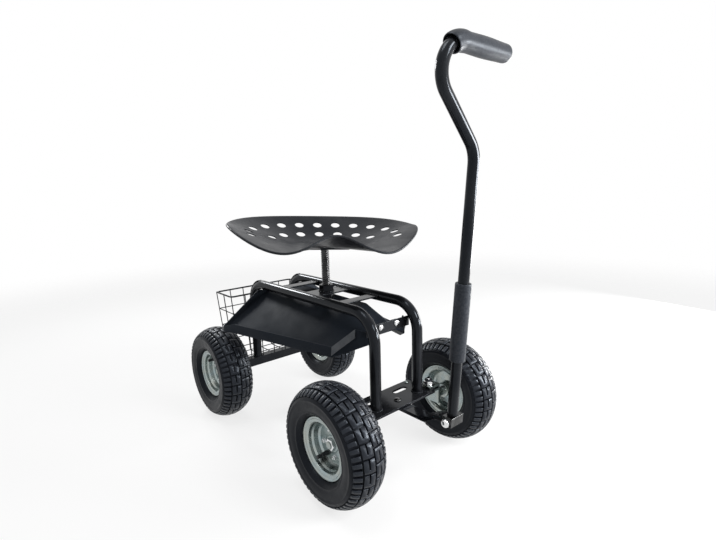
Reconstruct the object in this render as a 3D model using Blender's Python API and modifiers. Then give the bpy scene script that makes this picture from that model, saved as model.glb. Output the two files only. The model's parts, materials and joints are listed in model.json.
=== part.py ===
"""Rolling garden seat: a swivelling tractor seat on a four-wheeled cart that is steered by a pull handle.

Metres, +X towards the handle, +Y to the sitter's left, +Z up, ground at z = 0.
"""

import math
from collections import namedtuple

import bmesh
import bpy
from mathutils import Matrix, Vector

# Clearances between neighbouring pieces
SEAT_GAP = 0.0003
RUN_GAP = 0.0005

# Wheels
WHEELBASE = 0.533
TRACK = 0.382
TYRE_RADIUS = 0.130
TYRE_WIDTH = 0.089
TYRE_WALL = 0.007
CROWN_WIDTH = 0.022
TREAD_WIDTH = 0.047
TREAD_DROP = 0.0045
TYRE_SHOULDER_WIDTH = 0.069
TYRE_SHOULDER_DROP = 0.0105
TYRE_FLANK_WIDTH = 0.084
TYRE_FLANK_DROP = 0.0195
RIM_RADIUS = 0.067
RIM_WIDTH = 0.061
RIM_SHEET = 0.0025
BARREL_RADIUS = 0.0525
HUB_RADIUS = 0.018
HUB_BORE_RADIUS = 0.0125
HUB_INBOARD = 0.028
HUB_OUTBOARD = 0.004
BEARING_WIDTH = 0.010
AXLE_RADIUS = 0.008
AXLE_TAIL = 0.002
SHOULDER_RADIUS = 0.011
NUT_RADIUS = 0.0135
NUT_HEIGHT = 0.007
VALVE_RADIUS = 0.0055
VALVE_LENGTH = 0.026
VALVE_CIRCLE_RADIUS = 0.037
FRONT_VALVE_ANGLE = math.radians(235)
REAR_VALVE_ANGLE = math.radians(120)
TYRE_STEPS = 24
RIM_STEPS = 20
BEARING_STEPS = 12

# Frame
RAIL_RADIUS = 0.0127
RAIL_WALL = 0.0015
RAIL_SPACING = 0.1374
RAIL_HEIGHT = 0.376
RAIL_BEND = 0.065
REAR_BAR_SIDE = 0.025
CROSS_BAR_WIDTH = 0.030
CROSS_BAR_SHEET = 0.004
CROSS_BAR_SPACING = 0.125
SEAT_PLATE_WIDTH = 0.060
STRAP_RISE = 0.034
STRAP_HEIGHT = 0.024
STRAP_SHEET = 0.003
TRAY_BOLT_SPACING = 0.050
TRAY_BOLT_RADIUS = 0.003
TRAY_BOLT_HEAD_RADIUS = 0.0075
TRAY_BOLT_HEAD_HEIGHT = 0.004

# Front axle and steering
AXLE_PLATE_RISE = 0.030
AXLE_PLATE_SHEET = 0.005
AXLE_PLATE_FRONT = 0.0295
AXLE_PLATE_REAR = 0.0615
AXLE_PLATE_HALF_LENGTH = 0.100
SLOT_LENGTH = 0.045
SLOT_WIDTH = 0.015
SLOT_SETBACK = 0.034
SLOT_CENTRE_Y = 0.043
KINGPIN_Y = 0.110
KINGPIN_RADIUS = 0.006
KINGPIN_EAR_RADIUS = 0.0135
KINGPIN_NUT_RADIUS = 0.0125
KINGPIN_NUT_HEIGHT = 0.013
KINGPIN_TAIL = 0.002
KINGPIN_HEAD_RADIUS = 0.010
KINGPIN_HEAD_HEIGHT = 0.005
KNUCKLE_WIDTH = 0.036
KNUCKLE_SHEET = 0.005
KNUCKLE_INBOARD = 0.015
KNUCKLE_OUTBOARD = 0.017
KNUCKLE_DROP = 0.017
STEER_ARM_WIDTH = 0.016
TIE_SETBACK = 0.038
TIE_OFFSET = 0.0085
TIE_ROD_RADIUS = 0.003
TIE_ROD_BEND = TIE_ROD_RADIUS + RUN_GAP
TIE_ROD_SINK = 0.0005
STEER_BOLT_RADIUS = 0.006
STEER_BOLT_HEAD_RADIUS = 0.0085
STEER_BOLT_HEAD_HEIGHT = 0.004
TONGUE_WIDTH = 0.030
TONGUE_SHEET = 0.008
TONGUE_TAIL = 0.051
TONGUE_RISE_START = 0.085
TONGUE_RISE_END = 0.125

# Pull handle
HANDLE_PIVOT_REACH = 0.156
HANDLE_PIVOT_HEIGHT = 0.172
HANDLE_LEAN = math.radians(4.505)
HANDLE_BOLT_RADIUS = 0.005
HANDLE_BOLT_HEAD_RADIUS = 0.009
HANDLE_BOLT_HEAD_HEIGHT = 0.009
HANDLE_BOLT_NUT_HEIGHT = 0.006
EYE_RADIUS = 0.0075
YOKE_SHEET = 0.004
YOKE_HEIGHT = 0.020
YOKE_REAR = 0.010
YOKE_RELIEF = 0.0015
HANDLE_TUBE_RADIUS = 0.011
HANDLE_TUBE_WALL = 0.0015
HANDLE_CROOK_HEIGHT = 0.538
HANDLE_CROOK_ANGLE = math.radians(45.7)
HANDLE_GRIP_HEIGHT = 0.7083
HANDLE_CROOK_BEND = 0.055
HANDLE_TOP_BEND = 0.0469
TOP_GRIP_RADIUS = 0.0175
TOP_GRIP_REACH = 0.068
TOP_GRIP_END = 0.004
MID_GRIP_RADIUS = 0.0160
MID_GRIP_LENGTH = 0.160
MID_GRIP_BOTTOM = 0.133

# Tool tray
TRAY_REAR_REACH = 0.203
TRAY_SWEEP_FRONT = 0.066
TRAY_HALF_WIDTH_FRONT = 0.113
TRAY_HALF_WIDTH_REAR = 0.200
TRAY_RIDGE_HEIGHT = 0.360
TRAY_END_HEIGHT = 0.318
TRAY_LIP_HEIGHT = 0.268
TRAY_RIM = 0.026
TRAY_CORNER_DIP = 0.5
TRAY_SHEET = 0.003
TRAY_HIP_SHARE = 0.25
TRAY_FLAT_SHARE = 0.5
TRAY_ROOF_SHARE = 0.25
TRAY_CELLS = 8

# Wire basket
BASKET_LENGTH = 0.268
BASKET_DEPTH = 0.100
BASKET_HEIGHT = 0.210
BASKET_RIM_HEIGHT = 0.337
BASKET_TAPER = 0.014
BASKET_WIRE = 0.003
BASKET_MESH = 0.0445
BASKET_RINGS = 4
HOOK_WIDTH = 0.014
HOOK_SHEET = 0.002
HOOK_DROP = 0.070

# Seat
SEAT_AXIS_X = 0.008
SEAT_TURN = math.radians(-28.5)
SEAT_LEAN = math.radians(2.8)
SOCKET_RADIUS = 0.019
SOCKET_TOP = 0.398
SOCKET_BOTTOM = 0.340
SOCKET_HOLE_GAP = 0.002
POST_RADIUS = 0.011
POST_LENGTH = 0.250
SEAT_HEIGHT = 0.502
FLANGE_SIDE = 0.110
FLANGE_SHEET = 0.005
STOP_WASHER_RADIUS = 0.016
STOP_WASHER_SHEET = 0.003
SEAT_HALF_WIDTH = 0.247
SEAT_BACK = 0.184
SEAT_FRONT = 0.228
POMMEL_FRONT = 0.176
POMMEL_HALF_WIDTH = 0.080
SEAT_SHEET = 0.0025
BACK_RISE = 0.064
SIDE_RISE = 0.054
LOBE_RISE = -0.004
POMMEL_RISE = 0.043
PAN_FLAT_SHARE = 0.34
PAN_CURVE = 1.2
OUTLINE_POWER = 2.45
FRONT_NARROWING = 0.25
SEAT_RINGS = 6
SEAT_STEPS = 44
FRONT_CROWDING = 0.5
HOLE_RADIUS = 0.0125
HOLE_PITCH = 0.052
OUTER_HOLES = 13
OUTER_HOLE_SHARE = 0.78
INNER_HOLES = 7
INNER_HOLE_SHARE = 0.56
CUTTER_LENGTH = 0.040
SEAT_BOLT_SPACING = 0.070
SEAT_BOLT_RADIUS = 0.004
SEAT_BOLT_HEAD_RADIUS = 0.008
SEAT_BOLT_HEAD_HEIGHT = 0.004

# Facets
ARC_CELLS = 5
HANDLE_CELLS = 8
GRIP_BEND_CELLS = 2
HOOK_CELLS = 4
HOLE_STEPS = 10
BOLT_STEPS = 12
SIDEWAYS = Vector((1, 0, 0))

# Heights and places that follow from the driving dimensions
AXLE_HEIGHT = TYRE_RADIUS
FRONT_X = WHEELBASE / 2
REAR_X = -WHEELBASE / 2
HUB_INNER_Y = TRACK / 2 - HUB_INBOARD
HUB_OUTER_Y = TRACK / 2 + HUB_OUTBOARD
AXLE_END_Y = HUB_OUTER_Y + RUN_GAP + NUT_HEIGHT + AXLE_TAIL
RAIL_Y = RAIL_SPACING / 2
RAIL_UNDERSIDE = RAIL_HEIGHT - RAIL_RADIUS
PLATE_TOP = AXLE_HEIGHT + AXLE_PLATE_RISE
PLATE_BOTTOM = PLATE_TOP - AXLE_PLATE_SHEET
TONGUE_TOP = PLATE_BOTTOM - RUN_GAP
TONGUE_BOTTOM = TONGUE_TOP - TONGUE_SHEET
KNUCKLE_FLANGE_TOP = PLATE_BOTTOM - RUN_GAP
TIE_RUN_HEIGHT = TONGUE_BOTTOM - RUN_GAP - TIE_ROD_RADIUS
HANDLE_PIVOT_X = FRONT_X + HANDLE_PIVOT_REACH
BEND_CENTRE_X = FRONT_X - RAIL_BEND
BEND_CENTRE_Z = RAIL_HEIGHT - RAIL_BEND
STRAP_TOP = BEND_CENTRE_Z + STRAP_RISE
STRAP_FACE_X = BEND_CENTRE_X + math.sqrt((RAIL_BEND - RAIL_RADIUS - SEAT_GAP) ** 2 - STRAP_RISE**2)
BASKET_FRONT_X = REAR_X - RAIL_RADIUS - 2 * SEAT_GAP - HOOK_SHEET - BASKET_WIRE / 2
GRIP_REACH = HANDLE_PIVOT_X + HANDLE_GRIP_HEIGHT * math.sin(HANDLE_LEAN)
FRONT_REACH = GRIP_REACH + TOP_GRIP_RADIUS
REAR_REACH = WHEELBASE / 2 + TYRE_RADIUS
CART_X = (REAR_REACH - FRONT_REACH) / 2

Finish = namedtuple("Finish", "colour roughness metallic")
BLACK_PAINT = Finish((0.012, 0.013, 0.015), 0.30, 0.0)
SEAT_PAINT = Finish((0.040, 0.042, 0.047), 0.42, 0.2)
ZINC = Finish((0.62, 0.64, 0.60), 0.32, 1.0)
TYRE_RUBBER = Finish((0.014, 0.015, 0.017), 0.75, 0.0)
VALVE_RUBBER = Finish((0.008, 0.008, 0.008), 0.60, 0.0)
TRAY_PLASTIC = Finish((0.017, 0.020, 0.026), 0.62, 0.0)
GRIP_FOAM = Finish((0.050, 0.052, 0.060), 0.85, 0.0)
BEARING_STEEL = Finish((0.45, 0.46, 0.47), 0.25, 1.0)

LEFT_AND_RIGHT = (("left", 1), ("right", -1))


def collection(name):
    """A new collection in the scene."""
    made = bpy.data.collections.new(name)
    bpy.context.scene.collection.children.link(made)
    return made


for stale in list(bpy.data.objects):
    bpy.data.objects.remove(stale)
PARTS = collection("rolling_garden_seat")
CUTTERS = collection("cutters")


def empty(name, location, parent=None, rotation=(0, 0, 0)):
    """A frame that carries pieces, on the axis they turn about."""
    frame = bpy.data.objects.new(name, None)
    PARTS.objects.link(frame)
    frame.parent = parent
    frame.location = location
    frame.rotation_euler = rotation
    return frame


def paint(name, finish):
    """A plain Principled material for one piece."""
    material = bpy.data.materials.new(name + "_finish")
    material.use_nodes = True
    shader = material.node_tree.nodes["Principled BSDF"]
    shader.inputs["Base Color"].default_value = (*finish.colour, 1)
    shader.inputs["Roughness"].default_value = finish.roughness
    shader.inputs["Metallic"].default_value = finish.metallic
    return material


def piece(name, data, finish, parent, rotation=(0, 0, 0), location=(0, 0, 0)):
    """An object in the parts collection with its own material."""
    made = bpy.data.objects.new(name, data)
    PARTS.objects.link(made)
    made.parent = parent
    made.location = location
    made.rotation_euler = rotation
    data.materials.append(paint(name, finish))
    return made


def mesh_from(name, build):
    """A mesh filled by the given bmesh function, with its faces pointing out."""
    data = bpy.data.meshes.new(name)
    shape = bmesh.new()
    build(shape)
    bmesh.ops.recalc_face_normals(shape, faces=shape.faces)
    shape.to_mesh(data)
    shape.free()
    return data


def box(name, low, high, finish, parent):
    """A block between two corners."""

    def build(shape):
        bmesh.ops.create_cube(shape, size=1)
        size = Vector(high) - Vector(low)
        bmesh.ops.scale(shape, vec=size, verts=shape.verts)
        bmesh.ops.translate(shape, vec=(Vector(low) + Vector(high)) / 2, verts=shape.verts)

    return piece(name, mesh_from(name, build), finish, parent)


def turned(name, profile, finish, parent, steps, closed=True, **place):
    """A profile of (radius, height) points, down the outer side, turned about local Z."""
    data = bpy.data.meshes.new(name)
    shape = bmesh.new()
    points = [shape.verts.new((radius, 0, height)) for radius, height in profile]
    ends = points[1:] + points[:1] if closed else points[1:]
    for first, second in zip(points, ends):
        shape.edges.new((first, second))
    shape.to_mesh(data)
    shape.free()
    made = piece(name, data, finish, parent, **place)
    turn = made.modifiers.new("turn", "SCREW")
    turn.steps = steps
    turn.render_steps = steps
    turn.use_merge_vertices = True
    turn.merge_threshold = 0.00001
    turn.use_smooth_shade = True
    return made


def ring(name, outer, inner, low, high, finish, parent, steps, **place):
    """A plain turned ring."""
    profile = [(outer, high), (outer, low), (inner, low), (inner, high)]
    return turned(name, profile, finish, parent, steps, **place)


def bolt(name, head_radius, head_height, radius, length, finish, parent, **place):
    """A bolt along local Z: head above z = 0, shank below."""
    profile = [
        (0, head_height),
        (head_radius * 0.7, head_height),
        (head_radius, head_height * 0.5),
        (head_radius, 0),
        (radius, 0),
        (radius, -length),
        (0, -length),
    ]
    return turned(name, profile, finish, parent, BOLT_STEPS, closed=False, **place)


def as_mesh(made):
    """The same object with its curve turned into a welded mesh."""
    bpy.context.view_layer.update()
    evaluated = made.evaluated_get(bpy.context.evaluated_depsgraph_get())
    data = bpy.data.meshes.new_from_object(evaluated)
    shape = bmesh.new()
    shape.from_mesh(data)
    bmesh.ops.remove_doubles(shape, verts=shape.verts, dist=0.00001)
    shape.to_mesh(data)
    shape.free()
    name = made.name
    parent = made.parent
    place = made.matrix_basis.copy()
    bpy.data.objects.remove(made)
    solid = bpy.data.objects.new(name, data)
    PARTS.objects.link(solid)
    solid.parent = parent
    solid.matrix_basis = place
    return solid


def curve(name, points, closed=False, dimensions="3D"):
    """Curve data with one straight-sided spline."""
    data = bpy.data.curves.new(name, "CURVE")
    data.dimensions = dimensions
    add_spline(data, points, closed)
    return data


def add_spline(data, points, closed):
    """One more straight-sided spline."""
    spline = data.splines.new("POLY")
    spline.points.add(len(points) - 1)
    for place, point in zip(spline.points, points):
        place.co = (*Vector(point).to_3d(), 1)
    spline.use_cyclic_u = closed


def rod(name, points, radius, finish, parent):
    """A solid round rod along a path."""
    data = curve(name, points)
    data.bevel_depth = radius
    data.bevel_resolution = 2
    data.use_fill_caps = True
    return piece(name, data, finish, parent)


def pipe(name, points, radius, wall, finish, parent):
    """A round tube along a path, open at both ends."""
    data = curve(name, points)
    data.bevel_depth = radius
    data.bevel_resolution = 2
    made = as_mesh(piece(name, data, finish, parent))
    shell = made.modifiers.new("wall", "SOLIDIFY")
    shell.thickness = wall
    shell.offset = -1
    return made


def hoop(place, along, radius):
    """Points of a circle about a place, square to a direction in the plane x = 0."""
    side = along.cross(SIDEWAYS)
    return [place + SIDEWAYS * x + side * y for x, y in circle(radius)]


def sleeve(name, path, first, radii, cap, finish, parent):
    """A foam sleeve on a bent tube from one point of its path on, closed over the tube's end."""
    outer, bore = radii
    runs = [(end - start).normalized() for start, end in zip(path, path[1:])]
    bend = [(path[i], (runs[i - 1] + runs[i]).normalized()) for i in range(first, len(path) - 1)]
    along = runs[-1]
    bottom = path[-1] + along * SEAT_GAP
    inside = [hoop(place, turn, bore) for place, turn in bend]
    inside.append(hoop(bottom, along, bore))
    outside = [hoop(place, turn, outer) for place, turn in bend]
    outside.append(hoop(bottom - along * cap, along, outer))
    outside.append(hoop(bottom + along * cap, along, outer * 0.8))

    def build(shape):
        rows = [[shape.verts.new(point) for point in row] for row in inside[::-1] + outside]
        for upper, lower in zip(rows, rows[1:]):
            for i in range(len(upper)):
                shape.faces.new((upper[i - 1], lower[i - 1], lower[i], upper[i]))
        shape.faces.new(rows[0])
        shape.faces.new(rows[-1])

    return piece(name, mesh_from(name, build), finish, parent)


def plate(name, outlines, sheet, finish, parent, **place):
    """Flat sheet from closed outlines, holes included, centred on local z = 0."""
    data = curve(name, outlines[0], closed=True, dimensions="2D")
    for hole in outlines[1:]:
        add_spline(data, hole, closed=True)
    data.fill_mode = "BOTH"
    data.extrude = sheet / 2
    return as_mesh(piece(name, data, finish, parent, **place))


def circle(radius, centre=(0, 0), steps=BOLT_STEPS, start=0.0, sweep=2 * math.pi):
    """Points on a circle, or on an arc of it."""
    count = steps if sweep >= 2 * math.pi else steps + 1
    turn = sweep / steps
    return [
        (
            centre[0] + radius * math.cos(start + turn * i),
            centre[1] + radius * math.sin(start + turn * i),
        )
        for i in range(count)
    ]


def rounded_path(corners, radii, cells=ARC_CELLS):
    """The corners joined by straight runs, each inner corner replaced by an arc."""
    corners = [Vector(corner) for corner in corners]
    path = [corners[0]]
    for before, corner, after, radius in zip(corners, corners[1:], corners[2:], radii):
        into = (corner - before).normalized()
        out = (after - corner).normalized()
        turn = into.angle(out)
        reach = radius * math.tan(turn / 2)
        start = corner - into * reach
        side = (out - into * into.dot(out)).normalized()
        centre = start + side * radius
        for i in range(cells + 1):
            angle = turn * i / cells
            path.append(centre - side * radius * math.cos(angle) + into * radius * math.sin(angle))
    path.append(corners[-1])
    return path


def strip(name, path, width, sheet, finish, parent, location):
    """A bent flat strip: a path in X and Z, spread along Y."""

    def build(shape):
        points = [shape.verts.new((x, -width / 2, z)) for x, z in path]
        edges = [shape.edges.new(pair) for pair in zip(points, points[1:])]
        spread = bmesh.ops.extrude_edge_only(shape, edges=edges)
        moved = [v for v in spread["geom"] if isinstance(v, bmesh.types.BMVert)]
        bmesh.ops.translate(shape, vec=(0, width, 0), verts=moved)

    made = piece(name, mesh_from(name, build), finish, parent, location=location)
    wall = made.modifiers.new("sheet", "SOLIDIFY")
    wall.thickness = sheet
    wall.offset = 0
    return made


def cylinders(name, places, radius, length, parent, steps=HOLE_STEPS):
    """One cutter of several cylinders, each at (point, direction) in the parent's frame."""

    def build(shape):
        for point, direction in places:
            turn = Vector((0, 0, 1)).rotation_difference(Vector(direction)).to_matrix().to_4x4()
            bmesh.ops.create_cone(
                shape,
                cap_ends=True,
                segments=steps,
                radius1=radius,
                radius2=radius,
                depth=length,
                matrix=Matrix.Translation(point) @ turn,
            )

    return helper(name, mesh_from(name, build), parent)


def helper(name, data, parent):
    """A cutter or an addition that is not a piece by itself."""
    made = bpy.data.objects.new(name, data)
    CUTTERS.objects.link(made)
    made.parent = parent
    made.hide_render = True
    made.display_type = "WIRE"
    return made


def combine(made, other, operation):
    """A Boolean that cuts or joins another shape."""
    step = made.modifiers.new(other.name, "BOOLEAN")
    step.operation = operation
    step.object = other
    step.solver = "EXACT"


def flat_radius(radius, steps):
    """Corner radius of a faceted wheel whose flats lie at the given radius."""
    return radius / math.cos(math.pi / steps)


def tyre_profile():
    """Section of a pneumatic tyre: tread, sidewalls and beads, open towards the rim."""
    crown = flat_radius(TYRE_RADIUS, TYRE_STEPS)
    side = TYRE_WIDTH / 2
    middle = CROWN_WIDTH / 2
    bead = RIM_WIDTH / 2 - RIM_SHEET - SEAT_GAP
    seat = flat_radius(BARREL_RADIUS + SEAT_GAP, TYRE_STEPS)
    flange = flat_radius(RIM_RADIUS + RUN_GAP, TYRE_STEPS)
    depth = crown - flange
    outside = [
        (crown, middle),
        (crown - TREAD_DROP, TREAD_WIDTH / 2),
        (crown - TYRE_SHOULDER_DROP, TYRE_SHOULDER_WIDTH / 2),
        (crown - TYRE_FLANK_DROP, TYRE_FLANK_WIDTH / 2),
        (crown - depth * 0.50, side),
        (flange + depth * 0.17, side * 0.93),
        (flange, bead),
        (seat, bead),
    ]
    inside = [
        (seat, bead - TYRE_WALL),
        (flange + depth * 0.17, side * 0.93 - TYRE_WALL * 1.2),
        (crown - depth * 0.50, side - TYRE_WALL),
        (crown - TYRE_WALL, middle),
    ]
    upper = list(reversed(outside)) + []
    lower = [(radius, -height) for radius, height in outside]
    inner_low = [(radius, -height) for radius, height in inside]
    return upper + lower + inner_low + list(reversed(inside))


def rim_half(hub_reach):
    """Section of the rim on one side of its centre web, with the hub tube up to the given reach."""
    edge = RIM_WIDTH / 2
    web = RIM_SHEET / 2
    inside = BARREL_RADIUS - RIM_SHEET
    return [
        (HUB_BORE_RADIUS, hub_reach),
        (HUB_RADIUS, hub_reach),
        (HUB_RADIUS, web),
        (inside, web),
        (inside, edge),
        (RIM_RADIUS, edge),
        (RIM_RADIUS, edge - RIM_SHEET),
        (BARREL_RADIUS, edge - RIM_SHEET),
    ]


def rim_profile():
    """Section of a pressed rim: two flanges, barrel, centre web and a hub tube that stands inboard."""
    inboard = [(radius, -height) for radius, height in rim_half(HUB_INBOARD)]
    return rim_half(HUB_OUTBOARD) + list(reversed(inboard))


def wheel(place, hub, valve_angle):
    """Tyre, rim, two bearings and a valve stem about a hub whose local +Z points outboard."""
    half_step = math.pi / TYRE_STEPS
    turned(
        place + "_tyre",
        tyre_profile(),
        TYRE_RUBBER,
        hub,
        TYRE_STEPS,
        rotation=(0, 0, half_step),
    )
    turned(place + "_rim", rim_profile(), ZINC, hub, RIM_STEPS)
    bore = flat_radius(AXLE_RADIUS + SEAT_GAP, BEARING_STEPS)
    race = HUB_BORE_RADIUS * math.cos(math.pi / RIM_STEPS) - SEAT_GAP
    for label, low in (("outer", HUB_OUTBOARD - BEARING_WIDTH), ("inner", -HUB_INBOARD)):
        ring(
            f"{place}_{label}_bearing",
            race,
            bore,
            low,
            low + BEARING_WIDTH,
            BEARING_STEEL,
            hub,
            BEARING_STEPS,
        )
    web = RIM_SHEET / 2 + SEAT_GAP
    profile = [
        (0, web + VALVE_LENGTH),
        (VALVE_RADIUS * 0.8, web + VALVE_LENGTH),
        (VALVE_RADIUS * 0.8, web + VALVE_LENGTH * 0.5),
        (VALVE_RADIUS, web + VALVE_LENGTH * 0.3),
        (VALVE_RADIUS, web),
        (0, web),
    ]
    turned(
        place + "_valve_stem",
        profile,
        VALVE_RUBBER,
        hub,
        HOLE_STEPS,
        closed=False,
        location=(
            VALVE_CIRCLE_RADIUS * math.cos(valve_angle),
            VALVE_CIRCLE_RADIUS * math.sin(valve_angle),
            0,
        ),
    )


def axle_nut(place, carrier, offset):
    """A hexagon nut that holds the wheel on its axle; local +Z of the carrier points outboard."""
    bore = circle(flat_radius(AXLE_RADIUS + SEAT_GAP, BOLT_STEPS))
    plate(
        place + "_axle_nut",
        [circle(NUT_RADIUS, steps=6), bore],
        NUT_HEIGHT,
        ZINC,
        carrier,
        location=(0, 0, offset + RUN_GAP + NUT_HEIGHT / 2),
    )


def outboard(side):
    """Rotation that turns local +Z outboard on the given side."""
    return (-side * math.pi / 2, 0, 0)


def rear_end(cart):
    """Rear axle bar with its through axle, and the two rear wheels."""
    half = REAR_BAR_SIDE / 2
    end = HUB_INNER_Y - RUN_GAP
    bar = box(
        "rear_axle_bar",
        (REAR_X - half, -end, AXLE_HEIGHT - half),
        (REAR_X + half, end, AXLE_HEIGHT + half),
        BLACK_PAINT,
        cart,
    )
    centre = (REAR_X, 0, AXLE_HEIGHT)
    bore_radius = flat_radius(AXLE_RADIUS + SEAT_GAP, BOLT_STEPS)
    combine(
        bar,
        cylinders("rear_axle_bore", [(centre, (0, 1, 0))], bore_radius, TRACK, cart, BOLT_STEPS),
        "DIFFERENCE",
    )
    profile = [
        (0, AXLE_END_Y),
        (AXLE_RADIUS, AXLE_END_Y),
        (AXLE_RADIUS, -AXLE_END_Y),
        (0, -AXLE_END_Y),
    ]
    turned(
        "rear_axle",
        profile,
        ZINC,
        cart,
        BOLT_STEPS,
        closed=False,
        location=centre,
        rotation=outboard(1),
    )
    for label, side in LEFT_AND_RIGHT:
        hub = empty(
            f"rear_{label}_hub",
            (REAR_X, side * TRACK / 2, AXLE_HEIGHT),
            cart,
            outboard(side),
        )
        wheel("rear_" + label, hub, REAR_VALVE_ANGLE)
        axle_nut("rear_" + label, hub, HUB_OUTBOARD)


def frame_rails(cart):
    """Two inverted-U tubes that stand on the front axle plate and the rear axle bar."""
    front_foot = PLATE_TOP + SEAT_GAP
    rear_foot = AXLE_HEIGHT + REAR_BAR_SIDE / 2 + SEAT_GAP
    for label, side in LEFT_AND_RIGHT:
        y = side * RAIL_Y
        corners = [
            (FRONT_X, y, front_foot),
            (FRONT_X, y, RAIL_HEIGHT),
            (REAR_X, y, RAIL_HEIGHT),
            (REAR_X, y, rear_foot),
        ]
        path = rounded_path(corners, [RAIL_BEND, RAIL_BEND])
        pipe("frame_rail_" + label, path, RAIL_RADIUS, RAIL_WALL, BLACK_PAINT, cart)


def cross_bars(cart):
    """Flat bars between the rails, the seat plate among them, and the socket for the seat post."""
    low = RAIL_HEIGHT
    middle = low + CROSS_BAR_SHEET / 2
    half_length = RAIL_Y - RAIL_RADIUS - SEAT_GAP
    for label, offset in (("front", CROSS_BAR_SPACING), ("rear", -CROSS_BAR_SPACING)):
        centre = SEAT_AXIS_X + offset
        box(
            label + "_cross_bar",
            (centre - CROSS_BAR_WIDTH / 2, -half_length, low),
            (centre + CROSS_BAR_WIDTH / 2, half_length, low + CROSS_BAR_SHEET),
            BLACK_PAINT,
            cart,
        )
    half = SEAT_PLATE_WIDTH / 2
    outline = [(half, half_length), (-half, half_length), (-half, -half_length), (half, -half_length)]
    hole = circle(flat_radius(SOCKET_RADIUS + SEAT_GAP, BOLT_STEPS))
    plate(
        "seat_plate",
        [outline, hole],
        CROSS_BAR_SHEET,
        BLACK_PAINT,
        cart,
        location=(SEAT_AXIS_X, 0, middle),
    )
    ring(
        "seat_socket",
        SOCKET_RADIUS,
        flat_radius(POST_RADIUS + RUN_GAP, BOLT_STEPS),
        SOCKET_BOTTOM,
        SOCKET_TOP,
        BLACK_PAINT,
        cart,
        BOLT_STEPS,
        location=(SEAT_AXIS_X, 0, 0),
    )


def tray_bolt_places(direction):
    """The two tray bolts at one end, on the outer face of the strap."""
    height = STRAP_TOP - STRAP_HEIGHT * 0.4
    return [
        (label, Vector((direction * STRAP_FACE_X, side * TRAY_BOLT_SPACING / 2, height)))
        for label, side in LEFT_AND_RIGHT
    ]


def tray_straps(cart):
    """Straps between the rail bends at both ends, with the bolts that hold the tray in front."""
    reach = TRAY_BOLT_RADIUS + SEAT_GAP
    for label, direction in (("front", 1), ("rear", -1)):
        outer = direction * STRAP_FACE_X
        inner = outer - direction * STRAP_SHEET
        strap = box(
            label + "_tray_strap",
            (min(outer, inner), -RAIL_Y, STRAP_TOP - STRAP_HEIGHT),
            (max(outer, inner), RAIL_Y, STRAP_TOP),
            BLACK_PAINT,
            cart,
        )
        if label == "rear":
            continue
        places = tray_bolt_places(direction)
        holes = [(point, (1, 0, 0)) for _, point in places]
        length = 2 * (STRAP_SHEET + TRAY_SHEET + TRAY_BOLT_HEAD_HEIGHT)
        combine(
            strap,
            cylinders("tray_bolt_holes", holes, flat_radius(reach, HOLE_STEPS), length, cart),
            "DIFFERENCE",
        )
        for side_label, point in places:
            bolt(
                f"tray_bolt_{side_label}",
                TRAY_BOLT_HEAD_RADIUS,
                TRAY_BOLT_HEAD_HEIGHT,
                TRAY_BOLT_RADIUS,
                STRAP_SHEET + TRAY_SHEET + 2 * SEAT_GAP,
                ZINC,
                cart,
                location=point + Vector((SEAT_GAP, 0, 0)),
                rotation=(0, math.pi / 2, 0),
            )


def tray_point(along, across):
    """A point of the tray floor: along runs 0 to 1 rear to front, across runs -1 to 1."""
    outward = abs(across)
    swept = max(0.0, (outward - TRAY_FLAT_SHARE) / (1 - TRAY_FLAT_SHARE))
    wall = STRAP_FACE_X - STRAP_SHEET - SEAT_GAP - TRAY_SHEET / 2
    front = wall - TRAY_SWEEP_FRONT * swept
    rear = -TRAY_REAR_REACH
    half_width = TRAY_HALF_WIDTH_REAR + (TRAY_HALF_WIDTH_FRONT - TRAY_HALF_WIDTH_REAR) * along
    inset = min(1 - along, TRAY_HIP_SHARE) / TRAY_HIP_SHARE
    ridge = TRAY_END_HEIGHT + (TRAY_RIDGE_HEIGHT - TRAY_END_HEIGHT) * inset
    slope = max(0.0, (outward - TRAY_ROOF_SHARE) / (1 - TRAY_ROOF_SHARE))
    return Vector(
        (
            rear + (front - rear) * along,
            across * half_width,
            ridge + (TRAY_LIP_HEIGHT - ridge) * slope,
        )
    )


def tray_rim_top(along, across):
    """Top of the rim, lower at the rear corners and kept under the rails."""
    corner = max(0.0, 1 - along * TRAY_CELLS) * max(0.0, abs(across) - TRAY_FLAT_SHARE)
    height = TRAY_RIM * (1 - TRAY_CORNER_DIP * corner / (1 - TRAY_FLAT_SHARE))
    return min(tray_point(along, across).z + height, RAIL_UNDERSIDE - SEAT_GAP)


def tool_tray(cart):
    """One-piece tray, roofed along the middle, that slopes to a raised rim on both sides."""

    def build(shape):
        bmesh.ops.create_grid(shape, x_segments=TRAY_CELLS, y_segments=TRAY_CELLS, size=0.5)
        border = [edge for edge in shape.edges if edge.is_boundary]
        raised = bmesh.ops.extrude_edge_only(shape, edges=border)
        rim = {v for v in raised["geom"] if isinstance(v, bmesh.types.BMVert)}
        for vertex in shape.verts:
            along = vertex.co.x + 0.5
            across = vertex.co.y * 2
            vertex.co = tray_point(along, across)
            if vertex in rim:
                vertex.co.z = tray_rim_top(along, across)

    tray = piece("tool_tray", mesh_from("tool_tray", build), TRAY_PLASTIC, cart)
    wall = tray.modifiers.new("wall", "SOLIDIFY")
    wall.thickness = TRAY_SHEET
    wall.offset = 0
    post = ((SEAT_AXIS_X, 0, TRAY_RIDGE_HEIGHT), (0, 0, 1))
    hole_radius = SOCKET_RADIUS + SOCKET_HOLE_GAP
    combine(
        tray,
        cylinders("tray_post_hole", [post], hole_radius, SOCKET_TOP - SOCKET_BOTTOM, cart, BOLT_STEPS),
        "DIFFERENCE",
    )
    combine(tray, bpy.data.objects["tray_bolt_holes"], "DIFFERENCE")


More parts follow.
